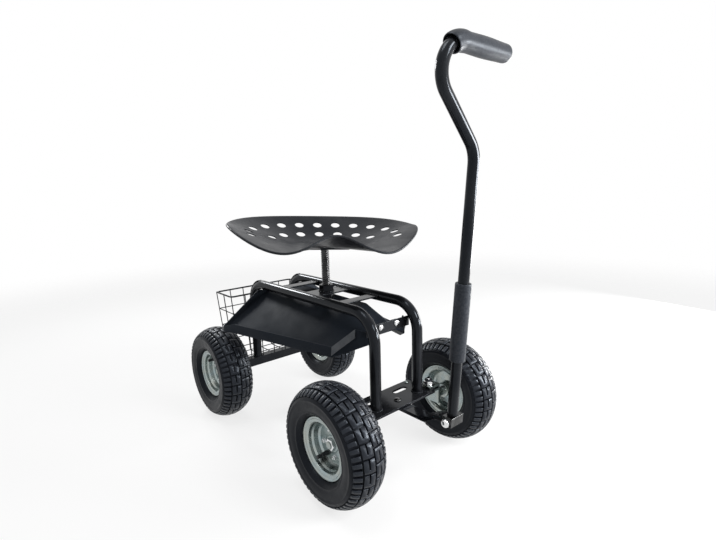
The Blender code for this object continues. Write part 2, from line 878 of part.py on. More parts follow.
def basket(cart):
    """Open wire basket behind the rear legs, and the two hooks it hangs by."""
    centre_x = BASKET_FRONT_X - BASKET_DEPTH / 2
    carrier = empty("basket_hang", (centre_x, 0, BASKET_RIM_HEIGHT), cart)
    columns = round(BASKET_LENGTH / BASKET_MESH)
    rows = round(BASKET_DEPTH / BASKET_MESH)
    counts = (rows, columns, BASKET_RINGS)
    size = Vector((BASKET_DEPTH, BASKET_LENGTH, BASKET_HEIGHT))

    def build(shape):
        bmesh.ops.create_cube(shape, size=1)
        top = [face for face in shape.faces if face.normal.z > 0.5]
        bmesh.ops.delete(shape, geom=top, context="FACES_ONLY")
        for axis, count in enumerate(counts):
            normal = Vector((0, 0, 0))
            normal[axis] = 1
            for i in range(1, count):
                bmesh.ops.bisect_plane(
                    shape,
                    geom=shape.verts[:] + shape.edges[:] + shape.faces[:],
                    plane_co=normal * (i / count - 0.5),
                    plane_no=normal,
                )
        for vertex in shape.verts:
            depth = 0.5 - vertex.co.z
            taper = BASKET_TAPER * depth
            vertex.co.y *= BASKET_LENGTH - 2 * taper
            vertex.co.x = vertex.co.x * (BASKET_DEPTH - taper) + taper / 2
            vertex.co.z = -depth * size.z

    net = piece("basket", mesh_from("basket", build), BLACK_PAINT, carrier)
    wires = net.modifiers.new("wires", "WIREFRAME")
    wires.thickness = BASKET_WIRE
    wires.use_boundary = True
    wires.use_even_offset = False
    radius = RAIL_BEND + RAIL_RADIUS + SEAT_GAP + HOOK_SHEET / 2
    lower = (-radius, BASKET_RIM_HEIGHT - HOOK_DROP - BEND_CENTRE_Z)
    sweep = -math.pi / 2 * HOOK_CELLS / ARC_CELLS
    wrap = circle(radius, steps=HOOK_CELLS, start=math.pi, sweep=sweep)
    for label, side in LEFT_AND_RIGHT:
        strip(
            "basket_hook_" + label,
            [lower] + wrap,
            HOOK_WIDTH,
            HOOK_SHEET,
            BLACK_PAINT,
            carrier,
            location=(
                -BEND_CENTRE_X - centre_x,
                side * RAIL_Y,
                BEND_CENTRE_Z - BASKET_RIM_HEIGHT,
            ),
        )


def axle_plate_outline():
    """Half of the front axle plate is wide; both ends narrow to a round ear at the kingpin."""
    front = AXLE_PLATE_FRONT
    rear = -AXLE_PLATE_REAR
    half = AXLE_PLATE_HALF_LENGTH
    left = circle(KINGPIN_EAR_RADIUS, (0, KINGPIN_Y), HOLE_STEPS, 0, math.pi)
    right = [(-x, -y) for x, y in left]
    left_side = [(front, half)] + left + [(rear, half)]
    right_side = [(rear, -half)] + right + [(front, -half)]
    return left_side + right_side


def slot(side):
    """Outline of one long slot, rounded at both ends."""
    radius = SLOT_WIDTH / 2
    reach = SLOT_LENGTH / 2 - radius
    centre = side * SLOT_CENTRE_Y
    far = circle(radius, (-SLOT_SETBACK, centre + reach), ARC_CELLS, 0, math.pi)
    near = circle(radius, (-SLOT_SETBACK, centre - reach), ARC_CELLS, math.pi, math.pi)
    return far + near


def front_axle(cart):
    """Front axle plate with the steering pivot bolt and both kingpins."""
    pivot = circle(flat_radius(STEER_BOLT_RADIUS + SEAT_GAP, BOLT_STEPS))
    pin_radius = flat_radius(KINGPIN_RADIUS + SEAT_GAP, BOLT_STEPS)
    pins = [circle(pin_radius, (0, side * KINGPIN_Y)) for _, side in LEFT_AND_RIGHT]
    slots = [slot(side) for _, side in LEFT_AND_RIGHT]
    plate(
        "front_axle_plate",
        [axle_plate_outline(), pivot] + pins + slots,
        AXLE_PLATE_SHEET,
        BLACK_PAINT,
        cart,
        location=(FRONT_X, 0, PLATE_TOP - AXLE_PLATE_SHEET / 2),
    )
    bolt(
        "steer_pivot_bolt",
        STEER_BOLT_HEAD_RADIUS,
        STEER_BOLT_HEAD_HEIGHT,
        STEER_BOLT_RADIUS,
        PLATE_TOP + SEAT_GAP - TONGUE_BOTTOM,
        ZINC,
        cart,
        location=(FRONT_X, 0, PLATE_TOP + SEAT_GAP),
    )
    flange_top = PLATE_TOP + RUN_GAP + KNUCKLE_SHEET
    flange_bottom = KNUCKLE_FLANGE_TOP - KNUCKLE_SHEET
    nut_low = flange_top + RUN_GAP
    head_top = flange_bottom - RUN_GAP
    profile = [
        (0, nut_low + KINGPIN_NUT_HEIGHT + KINGPIN_TAIL),
        (KINGPIN_RADIUS, nut_low + KINGPIN_NUT_HEIGHT + KINGPIN_TAIL),
        (KINGPIN_RADIUS, nut_low + KINGPIN_NUT_HEIGHT),
        (KINGPIN_NUT_RADIUS, nut_low + KINGPIN_NUT_HEIGHT),
        (KINGPIN_NUT_RADIUS, nut_low),
        (KINGPIN_RADIUS, nut_low),
        (KINGPIN_RADIUS, head_top),
        (KINGPIN_HEAD_RADIUS, head_top),
        (KINGPIN_HEAD_RADIUS, head_top - KINGPIN_HEAD_HEIGHT),
        (0, head_top - KINGPIN_HEAD_HEIGHT),
    ]
    for label, side in LEFT_AND_RIGHT:
        turned(
            "kingpin_" + label,
            profile,
            ZINC,
            cart,
            BOLT_STEPS,
            closed=False,
            location=(FRONT_X, side * KINGPIN_Y, 0),
        )


def knuckle_outline(side):
    """Section across the knuckle in Y and Z: two flanges round the axle plate and a web outside."""
    top = PLATE_TOP + RUN_GAP
    low = KNUCKLE_FLANGE_TOP
    inner = -KNUCKLE_INBOARD
    web = KNUCKLE_OUTBOARD
    foot = AXLE_HEIGHT - KNUCKLE_DROP
    points = [
        (inner, top + KNUCKLE_SHEET),
        (inner, top),
        (web, top),
        (web, low),
        (inner, low),
        (inner, low - KNUCKLE_SHEET),
        (web, low - KNUCKLE_SHEET),
        (web, foot),
        (web + KNUCKLE_SHEET, foot),
        (web + KNUCKLE_SHEET, top + KNUCKLE_SHEET),
    ]
    return [(side * y, z) for y, z in points]


def knuckle(label, side, cart):
    """Steering knuckle with stub axle and steering arm, turning about its kingpin."""
    pivot = empty("knuckle_pivot_" + label, (FRONT_X, side * KINGPIN_Y, 0), cart)
    name = "knuckle_" + label
    made = plate(
        name,
        [knuckle_outline(side)],
        KNUCKLE_WIDTH,
        ZINC,
        pivot,
        rotation=(math.pi / 2, 0, math.pi / 2),
    )
    web = KINGPIN_Y + KNUCKLE_OUTBOARD + KNUCKLE_SHEET / 2
    shoulder = HUB_INNER_Y - RUN_GAP
    profile = [
        (0, AXLE_END_Y - KINGPIN_Y),
        (AXLE_RADIUS, AXLE_END_Y - KINGPIN_Y),
        (AXLE_RADIUS, shoulder - KINGPIN_Y),
        (SHOULDER_RADIUS, shoulder - KINGPIN_Y),
        (SHOULDER_RADIUS, web - KINGPIN_Y),
        (0, web - KINGPIN_Y),
    ]
    axle = turned(
        name + "_axle",
        profile,
        ZINC,
        pivot,
        BOLT_STEPS,
        closed=False,
        rotation=outboard(side),
        location=(0, 0, AXLE_HEIGHT),
    )
    to_helper(axle)
    arm_high = KNUCKLE_FLANGE_TOP
    arm = box(
        name + "_arm",
        (-TIE_SETBACK - STEER_ARM_WIDTH / 2, side * TIE_OFFSET - STEER_ARM_WIDTH / 2, arm_high - KNUCKLE_SHEET),
        (0, side * TIE_OFFSET + STEER_ARM_WIDTH / 2, arm_high),
        ZINC,
        pivot,
    )
    to_helper(arm)
    combine(made, axle, "UNION")
    combine(made, arm, "UNION")
    up = (0, 0, 1)
    pin_radius = flat_radius(KINGPIN_RADIUS + SEAT_GAP, BOLT_STEPS)
    pin_hole = ((0, 0, PLATE_TOP), up)
    combine(
        made,
        cylinders(name + "_pin_hole", [pin_hole], pin_radius, AXLE_HEIGHT, pivot, BOLT_STEPS),
        "DIFFERENCE",
    )
    tie_radius = flat_radius(TIE_ROD_RADIUS + SEAT_GAP, HOLE_STEPS)
    tie_hole = ((-TIE_SETBACK, side * TIE_OFFSET, PLATE_TOP), up)
    combine(
        made,
        cylinders(name + "_tie_hole", [tie_hole], tie_radius, AXLE_HEIGHT, pivot),
        "DIFFERENCE",
    )
    hub = empty(
        f"front_{label}_hub",
        (0, side * (TRACK / 2 - KINGPIN_Y), AXLE_HEIGHT),
        pivot,
        outboard(side),
    )
    wheel("front_" + label, hub, FRONT_VALVE_ANGLE)
    axle_nut("front_" + label, hub, HUB_OUTBOARD)


def to_helper(made):
    """Move an object out of the parts, so that it only shapes another piece."""
    PARTS.objects.unlink(made)
    CUTTERS.objects.link(made)
    made.hide_render = True
    made.display_type = "WIRE"


def tongue_outline():
    """Side view of the tongue in X and Z: flat under the plate, then up to the handle's eye."""
    eye_z = HANDLE_PIVOT_HEIGHT
    half = TONGUE_SHEET / 2
    eye = circle(EYE_RADIUS, (HANDLE_PIVOT_REACH, eye_z), HOLE_STEPS, -math.pi / 2, math.pi)
    upper = [
        (TONGUE_RISE_END, eye_z + half),
        (TONGUE_RISE_START, TONGUE_TOP),
        (-TONGUE_TAIL, TONGUE_TOP),
    ]
    lower = [
        (-TONGUE_TAIL, TONGUE_BOTTOM),
        (TONGUE_RISE_START + half, TONGUE_BOTTOM),
        (TONGUE_RISE_END + half, eye_z - half),
    ]
    return lower + eye + upper


def steering(cart):
    """Tongue on the steering pivot, and the tie rods that turn both knuckles with it."""
    pivot = empty("steer_pivot", (FRONT_X, 0, 0), cart)
    eye_bore = flat_radius(HANDLE_BOLT_RADIUS + SEAT_GAP, BOLT_STEPS)
    tongue = plate(
        "tongue",
        [tongue_outline(), circle(eye_bore, (HANDLE_PIVOT_REACH, HANDLE_PIVOT_HEIGHT))],
        TONGUE_WIDTH,
        BLACK_PAINT,
        pivot,
        rotation=(math.pi / 2, 0, 0),
    )
    up = (0, 0, 1)
    bolt_radius = flat_radius(STEER_BOLT_RADIUS + SEAT_GAP, BOLT_STEPS)
    combine(
        tongue,
        cylinders("steer_bolt_hole", [((0, 0, PLATE_BOTTOM), up)], bolt_radius, PLATE_TOP, pivot, BOLT_STEPS),
        "DIFFERENCE",
    )
    pins = [((-TIE_SETBACK, side * TIE_OFFSET, PLATE_BOTTOM), up) for _, side in LEFT_AND_RIGHT]
    pin_radius = flat_radius(TIE_ROD_RADIUS + SEAT_GAP, HOLE_STEPS)
    combine(
        tongue,
        cylinders("tie_rod_holes", pins, pin_radius, PLATE_TOP, pivot),
        "DIFFERENCE",
    )
    high = TONGUE_TOP - TIE_ROD_SINK
    for label, side in LEFT_AND_RIGHT:
        start = empty("tie_pivot_" + label, (-TIE_SETBACK, side * TIE_OFFSET, 0), pivot)
        corners = [
            (0, 0, high),
            (0, 0, TIE_RUN_HEIGHT),
            (0, side * KINGPIN_Y, TIE_RUN_HEIGHT),
            (0, side * KINGPIN_Y, high),
        ]
        path = rounded_path(corners, [TIE_ROD_BEND, TIE_ROD_BEND])
        rod("tie_rod_" + label, path, TIE_ROD_RADIUS, BLACK_PAINT, start)
    handle(pivot)


def handle(steer):
    """Pull handle: yoke on the tongue's eye, bent tube and two grips, all leaning forward."""
    pivot = empty(
        "handle_pivot",
        (HANDLE_PIVOT_REACH, 0, HANDLE_PIVOT_HEIGHT),
        steer,
        (0, HANDLE_LEAN, 0),
    )
    inside = TONGUE_WIDTH / 2 + RUN_GAP
    outside = inside + YOKE_SHEET
    hollow = EYE_RADIUS + YOKE_RELIEF
    wall = hollow + YOKE_SHEET
    yoke = box(
        "handle_yoke",
        (-YOKE_REAR, -outside, wall - YOKE_HEIGHT),
        (wall, outside, wall),
        ZINC,
        pivot,
    )
    channel = box(
        "yoke_channel",
        (-2 * wall, -inside, -2 * YOKE_HEIGHT),
        (hollow, inside, hollow),
        ZINC,
        pivot,
    )
    to_helper(channel)
    combine(yoke, channel, "DIFFERENCE")
    bore = flat_radius(HANDLE_BOLT_RADIUS + SEAT_GAP, BOLT_STEPS)
    across = [((0, 0, 0), (0, 1, 0))]
    combine(
        yoke,
        cylinders("yoke_bore", across, bore, 4 * outside, pivot, BOLT_STEPS),
        "DIFFERENCE",
    )
    face = outside + SEAT_GAP
    length = 2 * face
    head = HANDLE_BOLT_HEAD_RADIUS
    profile = [
        (0, HANDLE_BOLT_HEAD_HEIGHT),
        (head * 0.6, HANDLE_BOLT_HEAD_HEIGHT * 0.9),
        (head, HANDLE_BOLT_HEAD_HEIGHT * 0.4),
        (head, 0),
        (HANDLE_BOLT_RADIUS, 0),
        (HANDLE_BOLT_RADIUS, -length),
        (head, -length),
        (head, -length - HANDLE_BOLT_NUT_HEIGHT),
        (0, -length - HANDLE_BOLT_NUT_HEIGHT),
    ]
    turned(
        "handle_pivot_bolt",
        profile,
        ZINC,
        pivot,
        BOLT_STEPS,
        closed=False,
        location=(0, -face, 0),
        rotation=outboard(-1),
    )
    path = handle_path(wall + SEAT_GAP)
    pipe("handle_tube", path, HANDLE_TUBE_RADIUS, HANDLE_TUBE_WALL, BLACK_PAINT, pivot)
    bore = flat_radius(HANDLE_TUBE_RADIUS + SEAT_GAP, BOLT_STEPS)
    ring(
        "mid_grip",
        MID_GRIP_RADIUS,
        bore,
        MID_GRIP_BOTTOM,
        MID_GRIP_BOTTOM + MID_GRIP_LENGTH,
        GRIP_FOAM,
        pivot,
        BOLT_STEPS,
    )
    first = len(path) - 2 - GRIP_BEND_CELLS
    sleeve("top_grip", path, first, (TOP_GRIP_RADIUS, bore), TOP_GRIP_END, GRIP_FOAM, pivot)


def handle_path(foot):
    """Centre line of the handle tube: up, aside in a crook, and back level through the grip."""
    rise = HANDLE_GRIP_HEIGHT - HANDLE_CROOK_HEIGHT
    corner = -rise * math.tan(HANDLE_CROOK_ANGLE)
    corners = [
        (0, 0, foot),
        (0, 0, HANDLE_CROOK_HEIGHT),
        (0, corner, HANDLE_GRIP_HEIGHT),
        (0, TOP_GRIP_REACH - SEAT_GAP, HANDLE_GRIP_HEIGHT),
    ]
    return rounded_path(corners, [HANDLE_CROOK_BEND, HANDLE_TOP_BEND], HANDLE_CELLS)


def signed_power(value, power):
    """A power that keeps the sign."""
    return math.copysign(abs(value) ** power, value)


def smooth(share):
    """An S-shaped step from 0 to 1."""
    share = min(max(share, 0.0), 1.0)
    return share * share * (3 - 2 * share)


def pan_point(share, angle):
    """A point of the seat pan: share 0 at the post to 1 at the rim, angle 0 at the back."""
    roundness = 2 / OUTLINE_POWER
    lengthways = -signed_power(math.cos(angle), roundness)
    half_width = SEAT_HALF_WIDTH * (1 - FRONT_NARROWING * smooth(lengthways))
    sideways = half_width * signed_power(math.sin(angle), roundness)
    pommel = math.exp(-((sideways / POMMEL_HALF_WIDTH) ** 2)) if lengthways > 0 else 0.0
    if lengthways < 0:
        forward = SEAT_BACK * lengthways
        rise = BACK_RISE + (SIDE_RISE - BACK_RISE) * smooth(1 + lengthways)
    else:
        reach = SEAT_FRONT + (POMMEL_FRONT - SEAT_FRONT) * pommel
        forward = reach * lengthways
        rise = SIDE_RISE + (LOBE_RISE - SIDE_RISE) * smooth(lengthways)
        rise += (POMMEL_RISE - LOBE_RISE) * pommel
    curved = max(0.0, (share - PAN_FLAT_SHARE) / (1 - PAN_FLAT_SHARE))
    return Vector((forward * share, sideways * share, rise * curved**PAN_CURVE))


def pan_normal(share, angle):
    """Direction square to the pan at a point."""
    step = 0.01
    outward = pan_point(share + step, angle) - pan_point(share - step, angle)
    around = pan_point(share, angle + step) - pan_point(share, angle - step)
    return outward.cross(around).normalized()


def hole_places(count, share):
    """Holes along one row round the back of the pan, a pitch apart, centred on the back."""
    places = []
    for side in (1, -1):
        angle = 0.0
        here = pan_point(share, angle)
        for i in range(count // 2 + 1):
            if i > 0 or side > 0:
                places.append((here, pan_normal(share, angle)))
            while (pan_point(share, angle) - here).length < HOLE_PITCH:
                angle += side * 0.002
            here = pan_point(share, angle)
    return places


def seat_pan(carrier):
    """Pressed seat pan with two rows of round holes."""

    def build(shape):
        shares = [i / SEAT_RINGS for i in range(SEAT_RINGS + 1)]
        profile = [shape.verts.new((share, 0, 0)) for share in shares]
        edges = [shape.edges.new(pair) for pair in zip(profile, profile[1:])]
        bmesh.ops.spin(
            shape,
            geom=profile + edges,
            axis=(0, 0, 1),
            cent=(0, 0, 0),
            angle=2 * math.pi,
            steps=SEAT_STEPS,
        )
        bmesh.ops.remove_doubles(shape, verts=shape.verts, dist=0.0001)
        for vertex in shape.verts:
            share = vertex.co.length
            angle = math.atan2(vertex.co.y, vertex.co.x)
            vertex.co = pan_point(share, angle + FRONT_CROWDING * math.sin(angle))

    pan = piece(
        "seat_pan",
        mesh_from("seat_pan", build),
        SEAT_PAINT,
        carrier,
        location=(0, 0, SEAT_SHEET),
    )
    wall = pan.modifiers.new("sheet", "SOLIDIFY")
    wall.thickness = SEAT_SHEET
    wall.offset = -1
    places = hole_places(OUTER_HOLES, OUTER_HOLE_SHARE) + hole_places(INNER_HOLES, INNER_HOLE_SHARE)
    combine(
        pan,
        cylinders("seat_holes", places, HOLE_RADIUS, CUTTER_LENGTH, pan),
        "DIFFERENCE",
    )
    return pan


def seat(cart):
    """Seat pan, flange and threaded post, turning together in the socket."""
    turn = empty("seat_turn", (SEAT_AXIS_X, 0, 0), cart, (0, 0, SEAT_TURN))
    lean = empty("seat_lean", (0, 0, SEAT_HEIGHT), turn, (-SEAT_LEAN, 0, 0))
    pan = seat_pan(lean)
    half = FLANGE_SIDE / 2
    flange_top = -SEAT_GAP
    flange_low = flange_top - FLANGE_SHEET
    flange = box("seat_flange", (-half, -half, flange_low), (half, half, flange_top), BLACK_PAINT, lean)
    bolt_places = [
        (label, (direction * SEAT_BOLT_SPACING / 2, 0, SEAT_SHEET + SEAT_GAP))
        for label, direction in (("front", 1), ("rear", -1))
    ]
    holes = cylinders(
        "seat_bolt_holes",
        [(point, (0, 0, 1)) for _, point in bolt_places],
        flat_radius(SEAT_BOLT_RADIUS + SEAT_GAP, HOLE_STEPS),
        CUTTER_LENGTH,
        lean,
    )
    combine(pan, holes, "DIFFERENCE")
    combine(flange, holes, "DIFFERENCE")
    for label, point in bolt_places:
        bolt(
            "seat_bolt_" + label,
            SEAT_BOLT_HEAD_RADIUS,
            SEAT_BOLT_HEAD_HEIGHT,
            SEAT_BOLT_RADIUS,
            point[2] - flange_low,
            ZINC,
            lean,
            location=point,
        )
    post_top = SEAT_HEIGHT + flange_low - SEAT_GAP - POST_RADIUS * math.tan(SEAT_LEAN)
    post_low = post_top - POST_LENGTH
    turned(
        "seat_post",
        [(0, post_top), (POST_RADIUS, post_top), (POST_RADIUS, post_low), (0, post_low)],
        ZINC,
        turn,
        BOLT_STEPS,
        closed=False,
    )
    washer_top = post_low - SEAT_GAP
    turned(
        "post_stop_washer",
        [
            (0, washer_top),
            (STOP_WASHER_RADIUS, washer_top),
            (STOP_WASHER_RADIUS, washer_top - STOP_WASHER_SHEET),
            (0, washer_top - STOP_WASHER_SHEET),
        ],
        ZINC,
        turn,
        BOLT_STEPS,
        closed=False,
    )


def main():
    """Build the whole seat about its origin, on the ground under the middle of its length."""
    cart = empty("cart", (CART_X, 0, 0))
    rear_end(cart)
    frame_rails(cart)
    cross_bars(cart)
    tray_straps(cart)
    tool_tray(cart)
    basket(cart)
    front_axle(cart)
    for label, side in LEFT_AND_RIGHT:
        knuckle(label, side, cart)
    steering(cart)
    seat(cart)


main()
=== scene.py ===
"""Looks of the rolling garden seat: finished pieces over their solids, a plain stage and the camera."""

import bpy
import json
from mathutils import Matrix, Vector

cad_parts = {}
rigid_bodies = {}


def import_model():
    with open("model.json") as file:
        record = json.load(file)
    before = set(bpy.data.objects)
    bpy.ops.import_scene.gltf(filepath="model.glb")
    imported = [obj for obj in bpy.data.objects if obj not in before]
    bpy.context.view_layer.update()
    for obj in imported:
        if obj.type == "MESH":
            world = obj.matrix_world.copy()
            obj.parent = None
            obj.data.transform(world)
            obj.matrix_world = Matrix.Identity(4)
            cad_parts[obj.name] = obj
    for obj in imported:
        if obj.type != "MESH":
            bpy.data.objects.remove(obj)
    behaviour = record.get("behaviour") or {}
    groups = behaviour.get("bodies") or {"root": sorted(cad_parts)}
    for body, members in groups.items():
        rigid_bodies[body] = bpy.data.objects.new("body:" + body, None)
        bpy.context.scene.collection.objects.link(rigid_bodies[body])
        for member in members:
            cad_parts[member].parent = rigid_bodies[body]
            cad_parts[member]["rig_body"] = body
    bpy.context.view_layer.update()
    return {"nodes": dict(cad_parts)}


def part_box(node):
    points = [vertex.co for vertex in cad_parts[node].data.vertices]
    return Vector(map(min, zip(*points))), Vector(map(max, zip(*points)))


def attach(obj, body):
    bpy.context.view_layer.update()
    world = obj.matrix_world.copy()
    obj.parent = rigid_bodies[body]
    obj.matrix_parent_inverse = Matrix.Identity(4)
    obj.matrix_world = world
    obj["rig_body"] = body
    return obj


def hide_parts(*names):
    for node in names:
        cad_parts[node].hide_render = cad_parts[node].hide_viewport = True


bl_info = {
    "name": "Rolling Garden Seat",
    "version": (1, 0, 0),
    "blender": (4, 5, 0),
    "location": "3D View > Sidebar > Garden Seat",
    "description": "Finished pieces and stage for a rolling garden seat",
    "category": "Object",
}

import json
import math

import bmesh
import bpy
from bpy.props import FloatProperty, FloatVectorProperty, IntProperty, PointerProperty
from mathutils import Matrix, Vector

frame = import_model()

WHEELS = ("front_left", "front_right", "rear_left", "rear_right")
SIDES = (("left", 1), ("right", -1))
SEAT_GAP = 0.0003
UP = Vector((0, 0, 1))
ROUND_STEPS = 48


# ---------------------------------------------------------------- sizes and colours


def length(name, default, description):
    """A length in metres that a user may change."""
    return FloatProperty(name=name, description=description, default=default, unit="LENGTH", precision=4)


def angle(name, degrees, description):
    """An angle that a user may change, given in degrees."""
    return FloatProperty(
        name=name, description=description, default=math.radians(degrees), subtype="ANGLE"
    )


def share(name, default, description):
    """A plain ratio."""
    return FloatProperty(name=name, description=description, default=default)


def count(name, default, description):
    """A whole number of repeats or facets."""
    return IntProperty(name=name, description=description, default=default, min=1)


def power(name, default, description):
    """A lamp's power in watts."""
    return FloatProperty(name=name, description=description, default=default, min=0, subtype="POWER")


def colour(name, default, description):
    """A linear colour."""
    return FloatVectorProperty(
        name=name, description=description, default=default, subtype="COLOR", size=3, min=0, max=1
    )


class WheelSizes(bpy.types.PropertyGroup):
    """Tyres, rims and what sits in the hubs."""

    pitches: count("Tread pitches", 27, "Repeats of the tread pattern round a tyre")
    radius: length("Tyre radius", 0.130, "From the axle to the top of the tread")
    tread_half: length("Tread half width", 0.0260, "Half the width of the two centre rows")
    crown: length("Crown radius", 0.0625, "Radius of the section over the tread")
    crown_half: length("Crown half width", 0.0438, "How far across the tread the shoulder starts")
    shoulder: length("Shoulder radius", 0.012, "Radius of the turn from tread to sidewall")
    lug_reach: length("Shoulder lug reach", 0.0480, "Distance across the tread at which the lugs end")
    groove: length("Groove", 0.0030, "Width of the grooves between tread blocks")
    bar: length("Tread bar", 0.0072, "Length of the bar that joins two tread blocks")
    depth: length("Tread depth", 0.0055, "Height of the tread blocks over the casing")
    block_edge: length("Block edge", 0.0007, "Chamfer round the top of a tread block")
    tyre_steps: count("Tyre steps", 128, "Facets round a tyre")
    rim_steps: count("Rim steps", 96, "Facets round a rim")
    rim_bolts: count("Rim bolts", 4, "Bolts that hold the two halves of a rim together")
    bolt_circle: length("Bolt circle", 0.0300, "Radius on which the rim bolts stand")
    bolt_radius: length("Bolt radius", 0.0050, "Corner radius of a rim bolt's hexagon")
    valve_radius: length("Valve radius", 0.0055, "Radius of the valve stem's foot")


class FrameSizes(bpy.types.PropertyGroup):
    """Bent rails, flat metalwork and weld beads."""

    rail_radius: length("Rail radius", 0.0127, "Radius of the frame's round tube")
    rail_height: length("Rail height", 0.376, "Height of the rails' centre line over the ground")
    rail_bend: length("Rail bend", 0.065, "Centre line radius of the rails' bends")
    bend_cells: count("Bend cells", 18, "Facets along a bend")
    tube_sides: count("Tube sides", 32, "Facets round a tube")
    edge: length("Plate edge", 0.0008, "Rounding of the edges of flat metalwork")
    weld_radius: length("Weld radius", 0.0021, "Radius of one drop of a weld bead")
    weld_pitch: length("Weld pitch", 0.0026, "Distance between the drops of a weld bead")
    hook_sheet: length("Hook sheet", 0.0020, "Thickness of the basket's hooks")
    hook_width: length("Hook width", 0.0140, "Width of the basket's hooks")
    hook_sweep: angle("Hook sweep", 72, "How far a hook follows the bend of its rail")


class TraySizes(bpy.types.PropertyGroup):
    """The moulded tool tray under the rails."""

    rear_reach: length("Rear reach", 0.203, "From mid wheelbase back to the tray's rear edge")
    sweep: length("Front sweep", 0.066, "How far the front edge sweeps back at the corners")
    half_front: length("Front half width", 0.113, "Half the width of the front edge")
    half_rear: length("Rear half width", 0.200, "Half the width of the rear edge")
    ridge: length("Ridge height", 0.360, "Height of the roof along the middle")
    end_height: length("End height", 0.318, "Height of the roof where it hips down in front")
    lip: length("Lip height", 0.268, "Height of the floor along both lower edges")
    rim: length("Rim", 0.026, "Height of the rim over the floor")
    front_rise: length("Front rise", 0.022, "How much higher the front rim stands towards the middle")
    rise_share: share("Rise share", 0.68, "Share of the half width at which the front rim is highest")
    fold: length("Folded lip", 0.018, "Depth of the lip folded down outside the front rim")
    fold_reach: length("Lip reach", 0.008, "How far the folded lip stands out at its lower edge")
    sheet: length("Sheet", 0.003, "Thickness of the moulding")
    hip_share: share("Hip share", 0.25, "Share of the length over which the roof hips down")
    flat_share: share("Flat share", 0.5, "Share of the half width where the front edge starts to sweep")
    roof_share: share("Roof share", 0.25, "Share of the half width that is flat roof")
    corner_dip: share("Corner dip", 0.5, "How much lower the rim is at the rear corners")
    dip_share: share("Dip share", 0.125, "Share of the length over which the rim dips")
    corner: length("Moulded corner", 0.0035, "Rounding where floor, roof and rim meet")
    cells: count("Cells", 32, "Grid cells along and across the moulding")
    hole_radius: length("Post hole", 0.021, "Radius of the hole that the seat post passes")


class BasketSizes(bpy.types.PropertyGroup):
    """The wire basket behind the rear legs."""

    long: length("Length", 0.268, "Across the cart")
    deep: length("Depth", 0.100, "Along the cart")
    high: length("Height", 0.210, "From the rim to the floor")
    rim_height: length("Rim height", 0.337, "Height of the rim over the ground")
    taper: length("Taper", 0.014, "How much each wall leans in over the height")
    columns: count("Columns", 6, "Meshes along the length")
    rows: count("Rows", 2, "Meshes along the depth")
    rings: count("Rings", 4, "Meshes over the height")
    wire_radius: length("Wire radius", 0.0015, "Radius of the net's wires")
    rim_radius: length("Rim wire radius", 0.0025, "Radius of the rim's wire")
    corner: length("Rim corner", 0.012, "Radius to which the rim wire is bent at its corners")


class HandleSizes(bpy.types.PropertyGroup):
    """The pull handle, its grips and its pivot."""

    lean: angle("Lean", 4.505, "How far the handle leans forward at rest")
    tube_radius: length("Tube radius", 0.011, "Radius of the handle's tube")
    foot: length("Foot", 0.0133, "From the pivot up to the lower end of the tube")
    crook_height: length("Crook height", 0.538, "From the pivot up to the crook")
    crook_angle: angle("Crook angle", 45.7, "How far the crook leans aside")
    crook_bend: length("Crook bend", 0.055, "Centre line radius of the crook")
    grip_height: length("Grip height", 0.7083, "From the pivot up to the top grip")
    top_bend: length("Top bend", 0.0469, "Centre line radius of the bend into the top grip")
    top_radius: length("Top grip radius", 0.0175, "Radius of the top grip")
    top_reach: length("Top grip reach", 0.068, "From the handle's line to the top grip's closed end")
    top_cover: angle("Top grip cover", 33.925, "How much of the top bend the foam covers")
    top_end: length("Top grip end", 0.004, "How far the closed end of the top grip stands out")
    mid_radius: length("Sleeve radius", 0.016, "Radius of the sleeve on the upright")
    mid_length: length("Sleeve length", 0.160, "Length of the sleeve on the upright")
    mid_bottom: length("Sleeve bottom", 0.133, "From the pivot up to the sleeve")


